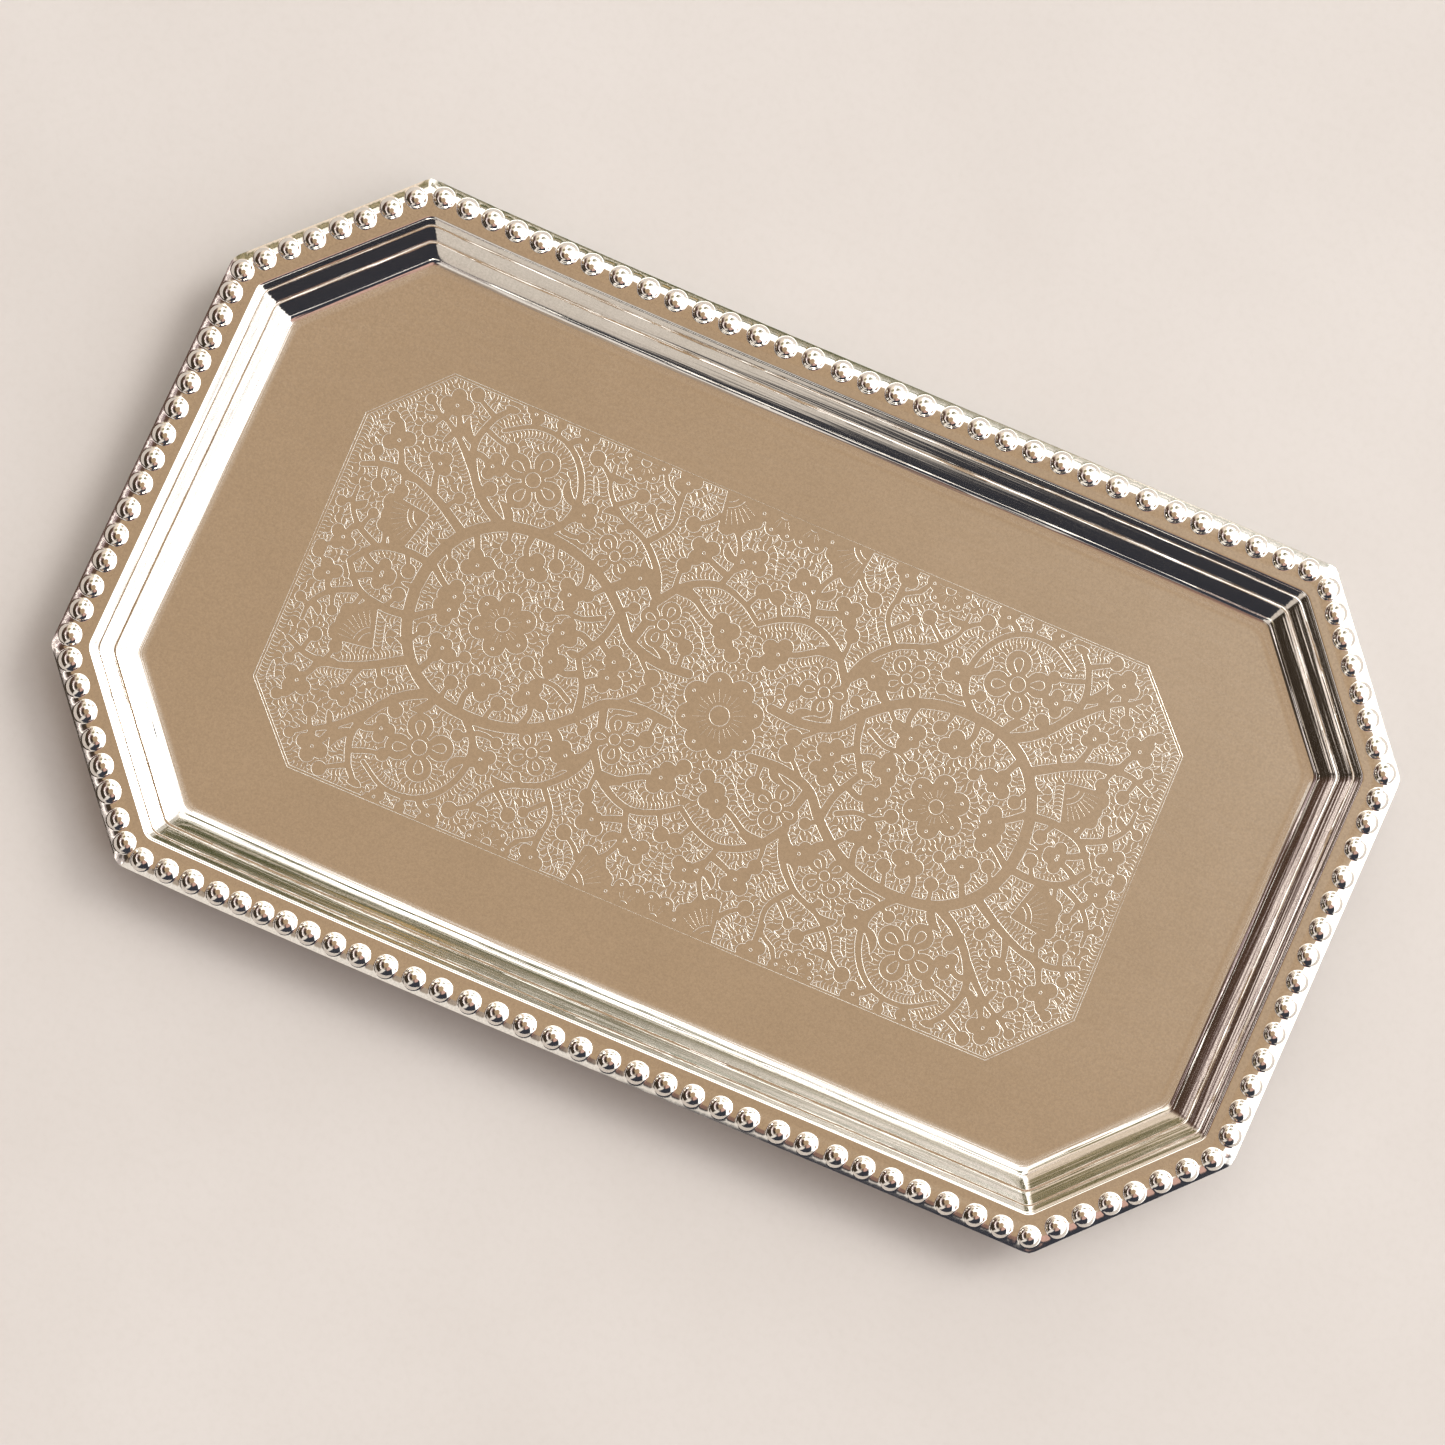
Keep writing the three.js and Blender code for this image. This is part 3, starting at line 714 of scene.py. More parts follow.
def design():
    # middle of the panel
    rosette(0, 0, 13.0, 8, 22.5)
    # ring of the large spiral round the rosette on the long axis
    rosette(66, 0, 9.4, 6, 30)
    # main vine: rises from the middle, sweeps over the ring and curls into the far end
    vine([(12.5, 7.5), (22, 7.0), (31, 9.5), (37, 16), (45, 22.5), (55, 26.6), (66, 27.6), (77, 25.5), (86, 19.0), (91, 9.5), (92.5, 0)], 1.5, 2.0)
    vine([(37, 16), (38.5, 8), (43, 0)], 1.3, 1.0)
    # branch to the long edge in the inner half
    vine([(31, 9.5), (29, 19), (31, 29), (38, 37), (47, 41), (53, 47), (54, 53.5)], 1.5, 0.6)
    vine([(29.3, 22), (23, 30), (14, 34), (6, 32), (0, 28)], 1.4, 0.8)
    vine([(14, 34), (12, 42), (15, 49), (22, 52.5)], 1.0, 0.6)
    vine([(38, 37), (33, 44), (34, 51), (39, 54.5)], 1.0, 0.6)
    # branch that wraps the flower near the long edge
    vine([(66, 27.6), (61, 33.5), (60, 41.5), (63.5, 49.5), (70, 54.5), (79, 55.0), (87, 50.5)], 1.3, 0.6)
    vine([(77, 25.5), (84, 29.5), (90, 36.0), (93, 44), (91, 52), (88, 56)], 1.7, 0.9)
    vine([(90, 36), (97, 43), (104, 47.5), (109, 47.0)], 1.3, 0.6)
    # outer end
    vine([(86, 19), (96, 25.0), (105, 28.5), (113, 29.0), (120, 26.5)], 1.6, 0.8)
    vine([(91.6, 8), (99, 8.5), (107, 6.5), (112.5, 0)], 1.3, 1.0)
    vine([(107, 6.5), (114, 10), (118, 15), (118.5, 20)], 1.1, 0.6)
    # flowers with looped petals
    flower4(74, 40.8, 9.0, 20)
    flower4(24.5, 17.5, 6.6, 10, 4)
    flower4(44.5, 30.0, 6.2, 40, 4)
    # fan flowers
    fan(97.5, 20.0, 13.0, -72, 8, 8)
    fan(22.0, 60.6, 13.5, 190, 262, 7)
    # half daisies on the long edge
    rosette(46.5, 58.0, 6.5, 8, 0, 2)
    rosette(4.5, 60.0, 8.2, 8, 22.5, 2)
    # blossoms inside the ring
    for (x, y, a, n, st) in [(52.0, 15.0, 150, 3, [(49.5, 19.5), (50.5, 24.8)]), (64.5, 17.6, 100, 3, [(68, 21.6), (68, 27)]),
                             (79.0, 12.6, 60, 3, [(81, 17.5), (83.0, 21.5)]), (81.5, 2.0, -10, 3, [(86, 4.5), (90.5, 8.0)]),
                             (49.6, 4.4, 200, 3, [(45, 6.0), (41.0, 4.5)])]:
        clover(x, y, 4.0, a, n, st)
    # blossoms outside
    clover(57.0, 37.2, 3.6, 120, 3, [(60.5, 34.0), (62.0, 32.0)])
    clover(8.5, 22.3, 4.2, 160, 3, [(14, 24.5), (19, 27.5), (24.5, 28.0)])
    clover(35.5, 24.0 + 3.0, 3.4, 30, 3, [(32, 26), (30, 24)])
    clover(86.0, 40.0, 3.3, 190, 3, [(90.0, 41.5), (92.6, 41.0)])
    clover(113.0, 36.6, 3.9, 60, 3, [(110.5, 32.5), (109.5, 28.8)])
    clover(101.8, 52.0, 3.9, 80, 3, [(99.6, 48.5), (98, 44.2)])
    clover(99.8, 35.0, 3.2, 120, 3, [(99.5, 31.0), (98.0, 26.0)])
    clover(102.8, 0.5, 3.3, 180, 3, [(107, 2.0), (110.0, 4.0)])
    clover(116.8, 5.4, 3.4, -60, 3, [(115.4, 9.0), (113.5, 10.2)])
    clover(33.2, 2.4, 3.8, 170, 3, [(37, 5.0), (39.0, 6.6)])
    clover(21.8, 40.6, 3.9, 40, 3, [(17.5, 38.6), (13.2, 37.2)])
    clover(7.6, 43.6, 3.6, 120, 3, [(10.5, 41.0), (12.2, 39.5)])
    clover(33.4, 57.0, 3.4, 60, 3, [(33.6, 53.2), (33.6, 49.4)])
    clover(64.5, 57.3, 3.0, 150, 3, [(67.5, 55.5), (68.5, 54.0)])
    clover(80.4, 58.4, 2.6, 120, 3, [(80.0, 56.5), (79.5, 55.2)])
    # berries on short stalks
    for (x, y, r, *st) in [
        (58.6, 21.0, 2.1, (60.0, 24.0), (60.5, 26.9)), (73.0, 20.6, 2.0, (73.8, 23.4), (74.0, 26.0)),
        (85.8, 9.8, 1.9, (87.5, 12.5), (88.6, 15.0)), (55.4, 7.4, 2.0, (51.0, 10.0), (45.8, 10.2), (40.8, 12.6)),
        (72.2, 12.6, 1.7, (75.6, 14.8), (78.6, 14.6)), (47.2, 16.8, 1.8, (45.0, 18.8), (43.2, 21.0)),
        (21.6, 2.4, 2.4, (24.6, 4.4), (28.0, 8.0)), (16.4, 14.0, 2.3, (16.2, 10.6), (16.0, 7.6)),
        (33.8, 18.6, 1.7, (35.5, 17.5), (37.0, 16.5)), (3.6, 17.2, 2.2, (5.0, 20.0), (7.0, 22.0)),
        (25.6, 35.2, 2.1, (25.8, 31.6), (25.4, 28.0)), (2.2, 37.0, 2.2, (3.6, 34.4), (4.8, 32.0)),
        (43.8, 48.6, 2.1, (46.6, 46.0), (49.6, 43.6)), (40.2, 46.2, 1.5, (38.0, 44.0), (36.0, 42.0)),
        (59.6, 53.6, 2.2, (56.0, 51.4), (53.8, 49.4)), (65.6, 33.6, 1.7, (63.6, 32.6), (62.2, 31.8)),
        (84.2, 33.8, 2.1, (86.0, 31.8), (86.6, 30.6)), (82.8, 46.6, 1.8, (86.6, 47.2), (90.5, 48.6)),
        (97.6, 57.0, 2.0, (95.2, 55.4), (91.4, 53.4)), (106.4, 42.8, 2.0, (105.6, 45.0), (104.6, 47.2)),
        (117.4, 31.6, 1.6, (116.8, 29.6), (116.0, 28.6)), (106.8, 23.6, 2.0, (107.4, 26.4), (108.2, 28.6)),
        (113.4, 22.8, 2.0, (114.6, 26.0), (115.0, 28.4)), (107.4, 13.2, 2.2, (106.2, 10.0), (105.4, 7.0)),
        (111.6, 14.8, 1.5, (112.8, 12.0), (113.2, 9.8)), (96.2, 3.6, 2.0, (97.4, 6.2), (98.6, 8.2)),
        (121.2, 14.6, 1.5, (119.6, 15.4), (118.4, 16.4)), (116.8, 42.2, 1.6, (114.4, 41.6), (113.4, 40.0)),
        (109.2, 50.8, 1.5, (107.0, 49.2), (105.4, 47.8)), (11.6, 54.4, 1.9, (13.4, 51.8), (14.6, 49.2)),
        (27.6, 47.0, 2.2, (24.0, 49.2), (21.6, 51.8)), (40.6, 58.4, 1.4, (39.8, 56.2), (38.6, 54.4)),
        (72.6, 58.4, 1.5, (72.6, 56.4), (72.4, 55.0)), (54.6, 31.4, 1.6, (57.6, 30.6), (60.6, 30.8)),
        (46.0, 37.8, 1.3, (44.6, 38.8), (43.4, 39.6)), (91.0, 28.0, 1.7, (92.6, 26.0), (93.6, 24.2)),
        (121.6, 0.8, 1.8, (118.6, 3.0), (116.6, 5.0)),
    ]:
        berry(x, y, r, *st)
    # leaves that spring from the vines
    for L in [(43, 21.5, 38.4, 28.4, 0.22, 1.4), (86, 19, 92.4, 15.0, -0.2, 1.2), (30.0, 27, 36.6, 33.0, -0.18, 1.5),
              (60.4, 39, 64.6, 45.0, -0.2, 1.2), (93.0, 44, 97.2, 50.4, -0.2, 1.3), (19, 6.8, 24.5, 10.6, 0.2, 1.2),
              (12.4, 42, 16.6, 45.6, -0.2, 1.2), (104, 28.2, 109.6, 31.6, -0.2, 1.2), (47, 41, 52.4, 40.2, 0.2, 1.2),
              (118, 15, 114.6, 17.6, 0.2, 1.1), (103.6, 47.2, 106.0, 52.8, 0.2, 1.2), (75.5, 26, 80.6, 31.8, 0.18, 1.3),
              (53.6, 51, 49.0, 51.4, 0.2, 1.0), (22.6, 30.4, 17.6, 28.6, 0.2, 1.2), (88.5, 57.0, 85.0, 57.4, 0.1, 1.0),
              (100.0, 44.6, 101.6, 41.0, -0.1, 0.9), (44.2, 0.6, 47.0, -2.6, 0.1, 1.0), (93.0, 0.0, 99.0, -3.0, 0.1, 1.0)]:
        leaf(*L)

def contours(d, level):
    """Marching squares on d at level, as open or closed polylines in grid units."""
    v = d - level
    ny, nx = v.shape
    s = v > 0
    segs = {}
    # horizontal edges (j,i)-(j,i+1) id = 2*(j*nx+i); vertical edges (j,i)-(j+1,i) id = 2*(j*nx+i)+1
    a, b, c, e = s[:-1, :-1], s[:-1, 1:], s[1:, 1:], s[1:, :-1]
    code = a * 1 + b * 2 + c * 4 + e * 8
    J, I = np.nonzero((code > 0) & (code < 15))
    adj = {}
    def pt(eid):
        h, q = eid & 1, eid >> 1
        j, i = divmod(q, nx)
        if h == 0:
            t = v[j, i] / (v[j, i] - v[j, i + 1]); return (i + t, j)
        t = v[j, i] / (v[j, i] - v[j + 1, i]); return (i, j + t)
    T = {1: [(3, 0)], 2: [(0, 1)], 3: [(3, 1)], 4: [(1, 2)], 5: [(3, 2), (0, 1)], 6: [(0, 2)], 7: [(3, 2)], 8: [(2, 3)], 9: [(2, 0)],
         10: [(0, 3), (1, 2)], 11: [(2, 1)], 12: [(1, 3)], 13: [(1, 0)], 14: [(0, 3)]}
    for j, i in zip(J.tolist(), I.tolist()):
        ids = (2 * (j * nx + i), 2 * (j * nx + i + 1) + 1, 2 * ((j + 1) * nx + i), 2 * (j * nx + i) + 1)
        for p, q in T[int(code[j, i])]:
            adj.setdefault(ids[p], []).append(ids[q]); adj.setdefault(ids[q], []).append(ids[p])
    out = []; used = set()
    ends = [k for k, l in adj.items() if len(l) == 1]
    for start in ends + list(adj):
        if start in used: continue
        line = [start]; used.add(start); cur = start
        while True:
            nxt = [k for k in adj[cur] if k not in used]
            if not nxt: break
            cur = nxt[0]; used.add(cur); line.append(cur)
        if len(line) > 3:
            closed = line[0] in adj[line[-1]] and len(line) > 8
            P = np.array([pt(k) for k in line])
            if closed: P = np.vstack([P, P[:1]])
            out.append(P)
    return out

def simplify(P, tol):
    """Douglas-Peucker."""
    keep = np.zeros(len(P), bool); keep[[0, -1]] = True
    closed = np.allclose(P[0], P[-1])
    stack = [(0, len(P) - 1)]
    if closed and len(P) > 6:
        m = int(np.hypot(*(P - P[0]).T).argmax()); keep[m] = True; stack = [(0, m), (m, len(P) - 1)]
    while stack:
        i, j = stack.pop()
        if j - i < 2: continue
        a, b = P[i], P[j]; ab = b - a; L = math.hypot(*ab)
        q = P[i + 1:j] - a
        dd = np.abs(q[:, 0] * ab[1] - q[:, 1] * ab[0]) / L if L > 1e-9 else np.hypot(*q.T)
        k = int(dd.argmax())
        if dd[k] > tol:
            k += i + 1; keep[k] = True; stack += [(i, k), (k, j)]
    return P[keep]

def sample(A, x, y):
    fx = np.clip(x / RES, 0, A.shape[1] - 1.001); fy = np.clip(y / RES, 0, A.shape[0] - 1.001)
    i = fx.astype(int); j = fy.astype(int); u = fx - i; w = fy - j
    return (A[j, i] * (1 - u) * (1 - w) + A[j, i + 1] * u * (1 - w) + A[j + 1, i] * (1 - u) * w + A[j + 1, i + 1] * u * w)

def smooth(A, n=1):
    for _ in range(n):
        B = np.pad(A, 1, mode='edge')
        A = (B[:-2, 1:-1] + B[2:, 1:-1] + B[1:-1, :-2] + B[1:-1, 2:] + 4 * A) / 8
    return A

def resample(P, step):
    s = np.r_[0, np.cumsum(np.hypot(*np.diff(P, axis=0).T))]
    n = max(int(s[-1] / step), 1)
    q = np.linspace(0, s[-1], n + 1)
    return np.c_[np.interp(q, s, P[:, 0]), np.interp(q, s, P[:, 1])], s[-1]

def build():
    """Every etched line of the first quadrant, as polylines in mm."""
    global F
    F = Field()
    design()
    X, Y = np.meshgrid(F.x, F.y)
    inp = inside_panel(X, Y, 0.55)
    # the ground ends at the border, so the border counts as a motif edge
    D = np.minimum(F.d, 99)
    G = np.minimum(D, inp)                       # ground distance: positive in the ground, to motif or border
    lines = []
    # outlines of the motifs, only inside the panel
    Gs = smooth(G, 2)
    for P in contours(Gs, 0.16):
        P = P * RES
        if np.hypot(*np.diff(P, axis=0).T).sum() < 1.5: continue
        lines.append(('o', simplify(P, 0.035)))
    for P in F.lines:
        if inside_panel(P[:, 0], P[:, 1], 1.3).min() < 0: 
            ok = inside_panel(P[:, 0], P[:, 1], 1.3) > 0
            if ok.sum() < 2: continue
            P = P[ok]
        ok = (P[:, 0] > -0.02) & (P[:, 1] > -0.02)
        # keep runs that lie in the quadrant
        run = []
        for k, p in enumerate(P):
            if ok[k]: run.append(p)
            else:
                if len(run) > 1: lines.append(('i', np.array(run)))
                run = []
        if len(run) > 1: lines.append(('i', np.array(run)))
    # hatching of the ground: rows of short bowed strokes that stand on the motif edges
    Gh = smooth(G, 10)
    gy, gx = np.gradient(Gh, RES)
    rng = np.random.default_rng(7)
    row = 2.35
    occupied = np.zeros_like(Gh, bool)
    for level in range(0, 4):
        base = 0.35 + level * row
        for P in contours(Gh, base):
            P = P * RES
            L = np.hypot(*np.diff(P, axis=0).T).sum()
            if L < 2.0: continue
            if level > 0:
                lines.append(('c', simplify(P, 0.05)))
            Q, L = resample(P, 1.12)
            Q = Q[:-1] if np.allclose(P[0], P[-1]) else Q
            Q = Q + rng.normal(0, 0.05, Q.shape)
            hand = 1 if (level % 2 == 0) else -1
            pts = [Q.copy()]; alive = np.ones(len(Q), bool); cur = Q.copy(); n = 8
            hist = np.full((len(Q), n + 1, 2), np.nan); hist[:, 0] = Q
            g0 = sample(Gh, cur[:, 0], cur[:, 1])
            for k in range(n):
                ux = sample(gx, cur[:, 0], cur[:, 1]); uy = sample(gy, cur[:, 0], cur[:, 1])
                m = np.hypot(ux, uy); alive &= m > 0.45
                ux /= np.maximum(m, 1e-6); uy /= np.maximum(m, 1e-6)
                th = hand * math.radians(-34 + 78 * k / (n - 1))
                vx = ux * math.cos(th) - uy * math.sin(th); vy = ux * math.sin(th) + uy * math.cos(th)
                cur = cur + np.c_[vx, vy] * (row / n * 1.06)
                g = sample(Gh, cur[:, 0], cur[:, 1])
                alive &= (g > g0 - 0.02) & (g < base + row * 0.98) & (cur[:, 0] > 0) & (cur[:, 1] > 0)
                g0 = np.where(alive, g, g0)
                hist[alive, k + 1] = cur[alive]
            for h in hist:
                ok = ~np.isnan(h[:, 0]); kk = int(ok.sum())
                if kk >= 4: lines.append(('h', simplify(h[:kk], 0.03)))
    return lines, F, G


class Ribbons:
    """Fine raised lines as closed bodies of triangular section."""
    def __init__(self, half, rise, foot=0.012):
        self.h, self.r, self.f = half, rise, foot
        self.v, self.q, self.n = [], [], 0
    def add(self, P, z0):
        P = np.asarray(P, float)
        keep = np.r_[True, np.hypot(*np.diff(P, axis=0).T) > 1e-3]
        P = P[keep]
        if len(P) < 2: return
        closed = len(P) > 4 and np.hypot(*(P[0] - P[-1])) < 1e-3
        if closed: P = P[:-1]
        n = len(P)
        if closed:
            a = P - np.roll(P, 1, 0); b = np.roll(P, -1, 0) - P
        else:
            d = np.diff(P, axis=0); a = np.vstack([d[:1], d]); b = np.vstack([d, d[-1:]])
        a /= np.hypot(*a.T)[:, None]; b /= np.hypot(*b.T)[:, None]
        m = np.c_[-(a + b)[:, 1], (a + b)[:, 0]]
        L = np.maximum(np.hypot(*m.T), 0.9)[:, None]
        m = m / L * np.minimum(2 / L, 1.25)
        w = np.full(n, self.h)
        z = np.full(n, self.r)
        if not closed:
            w[[0, -1]] *= 0.45; z[[0, -1]] *= 0.35
        l = P + m * w[:, None]; r = P - m * w[:, None]
        V3 = np.empty((n, 3, 3))
        V3[:, 0] = np.c_[l, np.full(n, z0 - self.f)]; V3[:, 1] = np.c_[P, z0 + z]; V3[:, 2] = np.c_[r, np.full(n, z0 - self.f)]
        self.v.append(V3.reshape(-1, 3))
        i = np.arange(n if closed else n - 1); j = (i + 1) % n
        A3, B3 = self.n + 3 * i, self.n + 3 * j
        for p, q in ((0, 1), (1, 2), (2, 0)):
            self.q += np.c_[A3 + p, A3 + q, B3 + q, B3 + p][:, ::-1].tolist()
        if not closed:
            o, e = self.n, self.n + 3 * (n - 1)
            self.q += [[o, o + 1, o + 2][::-1][::-1], [e + 2, e + 1, e]]
        self.n += 3 * n
    def arrays(self):
        return np.vstack(self.v), self.q

PANEL_TURN, PANEL_X, PANEL_Y = 0.018, -2.174, -1.274
def etch():
    lines, _, _ = build()
    c, s = math.cos(PANEL_TURN), math.sin(PANEL_TURN)
    n = np.array([PCY, PCX]) / math.hypot(PCX, PCY)
    def frame_line(e):
        """One quadrant of the panel's border line, e mm inside the panel's edge."""
        x0, y0 = PX - e, PY - e
        cc = n[0] * (PX - PCX) + n[1] * PY - e
        return np.array([[0, y0], [(cc - n[1] * y0) / n[0], y0], [x0, (cc - n[0] * x0) / n[1]], [x0, 0]])
    for sx, sy, nm in ((1, 1, "back_right"), (-1, 1, "back_left"), (-1, -1, "front_left"), (1, -1, "front_right")):
        R = Ribbons(0.135, 0.032)
        def put(P):
            P = np.asarray(P, float) * (sx, sy)
            R.add(np.c_[c * P[:, 0] - s * P[:, 1] + PANEL_X, s * P[:, 0] + c * P[:, 1] + PANEL_Y], 1.0)
        for kind, P in lines:
            put(P)
        put(frame_line(0.0))
        v, f = R.arrays()
        ob = make_object("etching_" + nm, v, f, [MAT_ETCH], do_warp=False, check=False)
        ob.data.polygons.foreach_set("use_smooth", np.zeros(len(ob.data.polygons), bool))
        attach(ob, "root")

pan()
borders()
etch()

# ------------------------------------------------------------------ floor, light
def stage():
    m, nt, bsdf = new_material("stone_top")
    n1 = noise(nt, 9.0, 6.0, 0.6)
    n2 = noise(nt, 420.0, 3.0, 0.6)
    c = mix_rgb(nt, map_range(nt, n1, 0.35, 0.7, 0.0, 1.0), (0.555, 0.527, 0.51), (0.525, 0.495, 0.475))
    c = mix_rgb(nt, map_range(nt, n2, 0.45, 0.75, 0.0, 0.12), c, (0.42, 0.39, 0.36))
    nt.links.new(c, bsdf.inputs["Base Color"])
    bsdf.inputs["Roughness"].default_value = 0.6
    me = bpy.data.meshes.new("stone_top")
    r = 3.0
    me.from_pydata([(-r, -r, 0), (r, -r, 0), (r, r, 0), (-r, r, 0)], [], [(0, 1, 2, 3)])
    me.materials.append(m)
    ob = bpy.data.objects.new("stone_top", me)
    bpy.context.scene.collection.objects.link(ob)
    return ob
stage()

def sky():
    """The room as a sphere of light, drawn on a flat map of directions: the zenith is at (0, 0), the
    distance from it is the angle down from the zenith in degrees, +X and +Y are the tray's own."""
    w = bpy.data.worlds.new("studio")
    bpy.context.scene.world = w
    w.use_nodes = True
    nt = w.node_tree
    nt.nodes.clear()
    out = node(nt, "ShaderNodeOutputWorld")
    bg = node(nt, "ShaderNodeBackground")
    nt.links.new(bg.outputs[0], out.inputs[0])
    tc = node(nt, "ShaderNodeTexCoord")
    nrm = node(nt, "ShaderNodeVectorMath", operation="NORMALIZE")
    nt.links.new(tc.outputs["Generated"], nrm.inputs[0])
    sep = node(nt, "ShaderNodeSeparateXYZ")
    nt.links.new(nrm.outputs[0], sep.inputs[0])

    def mth(op, a, b=None, clamp=False):
        n = node(nt, "ShaderNodeMath", operation=op, use_clamp=clamp)
        for s, v in zip(n.inputs, (a, b)):
            if v is None: continue
            if isinstance(v, (int, float)): s.default_value = v
            else: nt.links.new(v, s)
        return n.outputs[0]
    x, y, z = sep.outputs
    zen = mth("MULTIPLY", mth("ARCCOSINE", z), 180 / math.pi)
    k = mth("DIVIDE", zen, mth("MAXIMUM", mth("SQRT", mth("SUBTRACT", 1.0, mth("MULTIPLY", z, z), True)), 1e-3))
    cmb = node(nt, "ShaderNodeCombineXYZ")
    nt.links.new(mth("MULTIPLY", x, k), cmb.inputs[0]); nt.links.new(mth("MULTIPLY", y, k), cmb.inputs[1])
    flat = cmb.outputs[0]
    # a little wander, so that no edge is ruled
    wob = node(nt, "ShaderNodeTexNoise"); wob.inputs["Scale"].default_value = 0.07; wob.inputs["Detail"].default_value = 2.0
    nt.links.new(flat, wob.inputs["Vector"])
    off = node(nt, "ShaderNodeVectorMath", operation="MULTIPLY_ADD")
    nt.links.new(wob.outputs["Color"], off.inputs[0]); off.inputs[1].default_value = (4, 4, 0); off.inputs[2].default_value = (-2, -2, 0)
    add = node(nt, "ShaderNodeVectorMath", operation="ADD")
    nt.links.new(flat, add.inputs[0]); nt.links.new(off.outputs[0], add.inputs[1])
    P = add.outputs[0]
    # streaks that follow the zenith angle
    sv = node(nt, "ShaderNodeCombineXYZ")
    nt.links.new(mth("MULTIPLY", zen, 0.8), sv.inputs[0])
    nt.links.new(mth("MULTIPLY", x, 6.0), sv.inputs[1]); nt.links.new(mth("MULTIPLY", y, 6.0), sv.inputs[2])
    st = node(nt, "ShaderNodeTexNoise"); st.inputs["Scale"].default_value = 1.0; st.inputs["Detail"].default_value = 3.0
    nt.links.new(sv.outputs[0], st.inputs["Vector"])
    streak = st.outputs["Fac"]

    def local(cx, cy, rx, ry, ang):
        m = node(nt, "ShaderNodeMapping", vector_type="TEXTURE")
        m.inputs["Location"].default_value = (cx, cy, 0)
        m.inputs["Rotation"].default_value = (0, 0, math.radians(ang))
        m.inputs["Scale"].default_value = (rx, ry, 1)
        nt.links.new(P, m.inputs["Vector"])
        return m.outputs[0]
    def oval(cx, cy, rx, ry, ang=0.0, soft=0.3):
        n = node(nt, "ShaderNodeVectorMath", operation="LENGTH")
        nt.links.new(local(cx, cy, rx, ry, ang), n.inputs[0])
        return map_range(nt, n.outputs["Value"], 1 + soft, 1 - soft, 0.0, 1.0, True)
    def box(cx, cy, rx, ry, ang=0.0, soft=0.12):
        ab = node(nt, "ShaderNodeVectorMath", operation="ABSOLUTE")
        nt.links.new(local(cx, cy, rx, ry, ang), ab.inputs[0])
        sp = node(nt, "ShaderNodeSeparateXYZ"); nt.links.new(ab.outputs[0], sp.inputs[0])
        return map_range(nt, mth("MAXIMUM", sp.outputs[0], sp.outputs[1]), 1 + soft, 1 - soft, 0.0, 1.0, True)
    def half(nx, ny, c, soft):
        """Beyond the line whose normal is (nx, ny) and whose distance from the zenith is c."""
        L = math.hypot(nx, ny)
        n = node(nt, "ShaderNodeVectorMath", operation="DOT_PRODUCT")
        nt.links.new(P, n.inputs[0]); n.inputs[1].default_value = (nx / L, ny / L, 0)
        return map_range(nt, n.outputs["Value"], c - soft, c + soft, 0.0, 1.0, True)

    # around the room, in degrees from az 25 (the middle of the windows), at three heights
    psep = node(nt, "ShaderNodeSeparateXYZ"); nt.links.new(P, psep.inputs[0])
    px, py = psep.outputs[0], psep.outputs[1]
    around = mth("DIVIDE", mth("FLOORED_MODULO", mth("ADD", mth("MULTIPLY", mth("ARCTAN2", py, px), 180 / math.pi), 335.0), 360.0), 360.0)
    down = mth("SQRT", mth("ADD", mth("MULTIPLY", px, px), mth("MULTIPLY", py, py)))
    TOP = 4.0
    def ramp(stops, where=None):
        n = node(nt, "ShaderNodeValToRGB")
        cr = n.color_ramp
        cr.interpolation = "LINEAR"
        stops = sorted(((az - 25.0) % 360.0 / 360.0, c) for az, c in stops)
        while len(cr.elements) > 1: cr.elements.remove(cr.elements[-1])
        cr.elements[0].position = stops[0][0]; cr.elements[0].color = (*[v / TOP for v in stops[0][1]], 1)
        for q, c in stops[1:]:
            e = cr.elements.new(q); e.color = (*[v / TOP for v in c], 1)
        nt.links.new(where if where is not None else around, n.inputs[0])
        return n.outputs[0]
    def band(a, b, soft):
        """1 where the angle down from the zenith lies between a and b."""
        return mth("MULTIPLY", map_range(nt, down, a - soft, a + soft, 0.0, 1.0, True), map_range(nt, down, b + soft, b - soft, 0.0, 1.0, True))
    white, pale = (3.0, 3.0, 3.0), (2.7, 2.7, 2.65)
    # the border between the bright and the dark part of the room leans
    lean = mth("ADD", around, mth("MULTIPLY", mth("SUBTRACT", down, 58.0), 0.6 / 360.0))
    high = ramp([(25.1, white), (60, white), (66, pale), (120, pale), (128, (1.6, 1.5, 1.35)), (150, (1.5, 1.35, 1.2)), (160, (0.5, 0.38, 0.3)),
                 (168, (0.127, 0.071, 0.051)), (200, (0.11, 0.065, 0.046)), (214, (0.049, 0.037, 0.025)), (246, (0.07, 0.05, 0.04)),
                 (256, (0.47, 0.39, 0.32)), (268, (0.47, 0.39, 0.32)), (273, (0.06, 0.055, 0.06)), (335, (0.05, 0.05, 0.06)), (347, white), (24.9, white)])
    mid = ramp([(25.1, white), (60, white), (70, pale), (77, (1.0, 0.96, 0.94)), (88, (0.95, 0.88, 0.78)), (92, (0.56, 0.48, 0.36)), (104, (0.5, 0.43, 0.3)),
                (110, pale), (122, (1.2, 1.1, 0.95)), (130, (0.58, 0.486, 0.304)), (147, (0.58, 0.486, 0.304)), (156, (1.0, 0.9, 0.8)),
                (168, (0.38, 0.276, 0.287)), (188, (0.38, 0.276, 0.287)), (200, (0.46, 0.38, 0.36)), (214, (0.52, 0.46, 0.45)), (235, (0.55, 0.48, 0.46)),
                (250, (0.96, 0.90, 0.84)), (271, (0.96, 0.90, 0.84)), (274, (0.046, 0.049, 0.064)), (338, (0.046, 0.049, 0.064)), (347, white), (24.9, white)], lean)
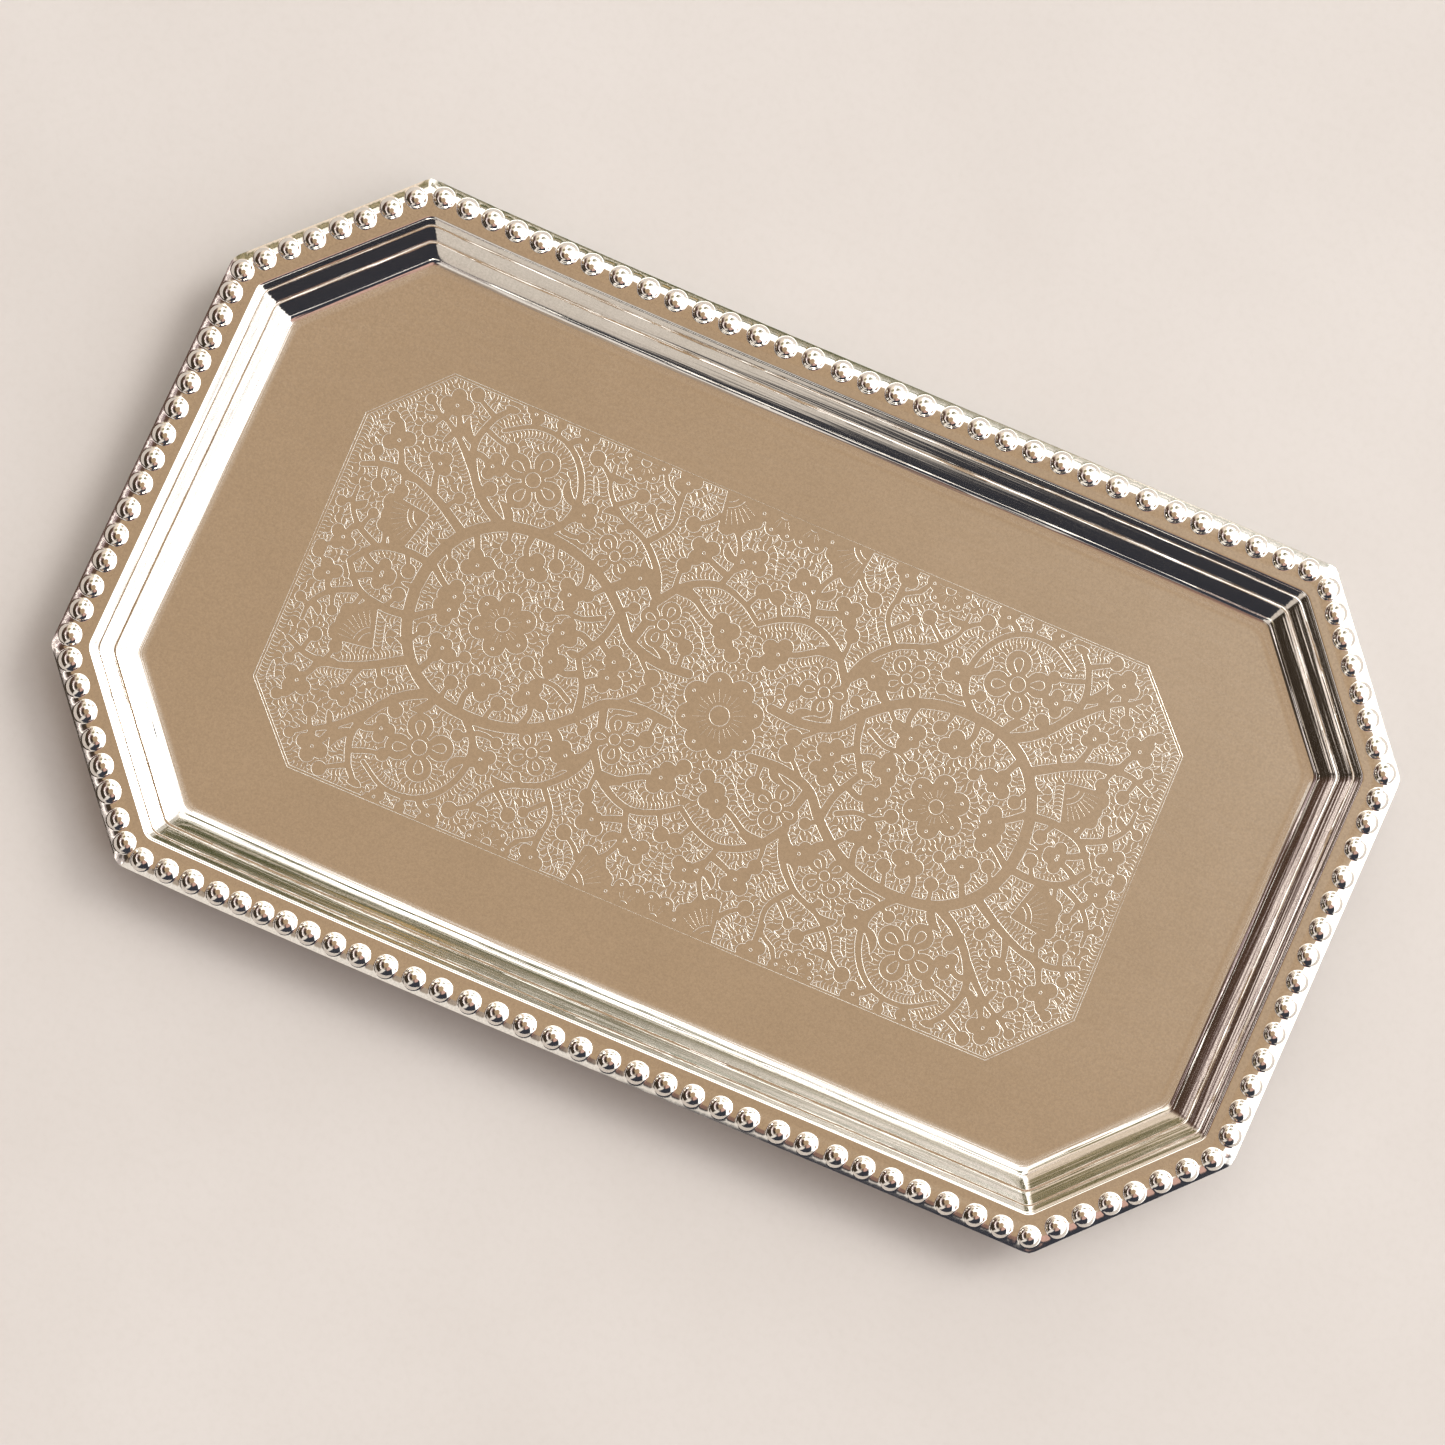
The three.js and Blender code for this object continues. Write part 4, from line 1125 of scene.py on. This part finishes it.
    low = ramp([(25.1, white), (60, white), (70, pale), (77, (1.0, 0.96, 0.94)), (88, (0.95, 0.88, 0.78)), (92, (0.56, 0.48, 0.36)), (104, (0.5, 0.43, 0.3)), (110, pale), (125, pale), (132, (1.15, 1.0, 0.85)), (150, (1.0, 0.85, 0.7)), (160, (0.4, 0.3, 0.24)),
                (168, (0.127, 0.071, 0.051)), (214, (0.049, 0.037, 0.025)), (244, (0.055, 0.042, 0.032)),
                (252, (0.90, 0.83, 0.77)), (271, (0.90, 0.83, 0.77)), (274, (0.046, 0.049, 0.064)), (338, (0.046, 0.049, 0.064)), (347, white), (24.9, white)], lean)
    col = mix_rgb(nt, map_range(nt, down, 43.0, 47.0, 0.0, 1.0, True), high, mid)
    col = mix_rgb(nt, map_range(nt, down, 61.0, 64.0, 0.0, 1.0, True), col, low)
    gain = node(nt, "ShaderNodeVectorMath", operation="SCALE")
    nt.links.new(col, gain.inputs[0]); gain.inputs["Scale"].default_value = TOP
    col = gain.outputs[0]
    def sector(a, b, soft):
        u, v, w = ((a - 25.0) % 360.0) / 360.0, ((b - 25.0) % 360.0) / 360.0, soft / 360.0
        return mth("MULTIPLY", map_range(nt, around, u - w, u + w, 0.0, 1.0, True), map_range(nt, around, v + w, v - w, 0.0, 1.0, True))
    # streaks at the height that the walls mirror: a garden, and slats at the dark end
    s1 = map_range(nt, streak, 0.45, 0.51, 0.0, 1.0, True)
    col = mix_rgb(nt, mth("MULTIPLY", mth("MULTIPLY", sector(88, 106, 3), band(46, 72, 2)), s1), col, (0.085, 0.10, 0.035))
    s2 = map_range(nt, streak, 0.38, 0.33, 0.0, 1.0, True)
    col = mix_rgb(nt, mth("MULTIPLY", mth("MULTIPLY", sector(74, 106, 3), band(46, 72, 2)), s2), col, (2.2, 2.1, 1.95))
    s3 = map_range(nt, streak, 0.52, 0.58, 0.0, 1.0, True)
    col = mix_rgb(nt, mth("MULTIPLY", mth("MULTIPLY", sector(74, 90, 3), band(46, 72, 2)), s3), col, (0.42, 0.46, 0.34))
    s4 = map_range(nt, streak, 0.45, 0.50, 0.0, 1.0, True)
    col = mix_rgb(nt, mth("MULTIPLY", mth("MULTIPLY", sector(127, 150, 3), band(46, 62, 2)), s4), col, (0.10, 0.10, 0.03))
    col = mix_rgb(nt, mth("MULTIPLY", sector(68, 112, 5), band(73, 95, 1.5)), col, (2.6, 2.6, 2.55))
    s6 = map_range(nt, streak, 0.50, 0.55, 0.0, 1.0, True)
    for a, b in ((340, 384), (25.5, 62)):
        col = mix_rgb(nt, mth("MULTIPLY", mth("MULTIPLY", sector(a, b, 1), band(46, 68, 2)), s6), col, (1.12, 1.12, 1.14))
    s5 = map_range(nt, streak, 0.50, 0.54, 0.0, 1.0, True)
    col = mix_rgb(nt, mth("MULTIPLY", mth("MULTIPLY", sector(168, 240, 4), band(50, 61, 1.2)), s5), col, (2.4, 2.2, 2.1))
    col = mix_rgb(nt, mth("MULTIPLY", sector(93.6, 95.6, 0.6), band(51.5, 53.5, 0.6)), col, (1.15, 0.66, 0.14))    # a touch of orange
    col = mix_rgb(nt, mth("MULTIPLY", sector(203, 246, 4), band(59, 95, 1.2)), col, (0.05, 0.037, 0.026))
    # pink edge above the dark side
    col = mix_rgb(nt, mth("MULTIPLY", sector(292, 342, 6), band(24, 50, 2.0)), col, (0.72, 0.45, 0.38))
    col = mix_rgb(nt, mth("MULTIPLY", sector(272, 294, 5), band(24, 40, 2.0)), col, (0.29, 0.17, 0.135))
    # warm ceiling, brighter towards the windows
    n_up = map_range(nt, half(1, 0.9, 15, 14), 0.0, 1.0, 0.0, 1.0)
    ceil = mix_rgb(nt, n_up, (0.53, 0.374, 0.238), (0.72, 0.59, 0.46))
    col = mix_rgb(nt, map_range(nt, down, 28.0, 23.0, 0.0, 1.0, True), col, ceil)
    cove = mth("MULTIPLY", half(math.cos(math.radians(70)), math.sin(math.radians(70)), 0, 5), band(19.5, 25.5, 1.2))
    col = mix_rgb(nt, cove, col, (2.2, 2.15, 2.1))                                           # light along the ceiling's edge
    col = mix_rgb(nt, oval(34, 38, 12, 12, 0, 0.2), col, (15.0, 14.6, 13.8))                # the sky in the windows
    nt.links.new(col, bg.inputs["Color"])
    bg.inputs["Strength"].default_value = 1.0
sky()

sc = bpy.context.scene
sc.view_settings.view_transform = "Standard"
sc.view_settings.look = "None"
sc.view_settings.exposure = 0.0
sc.view_settings.gamma = 1.0
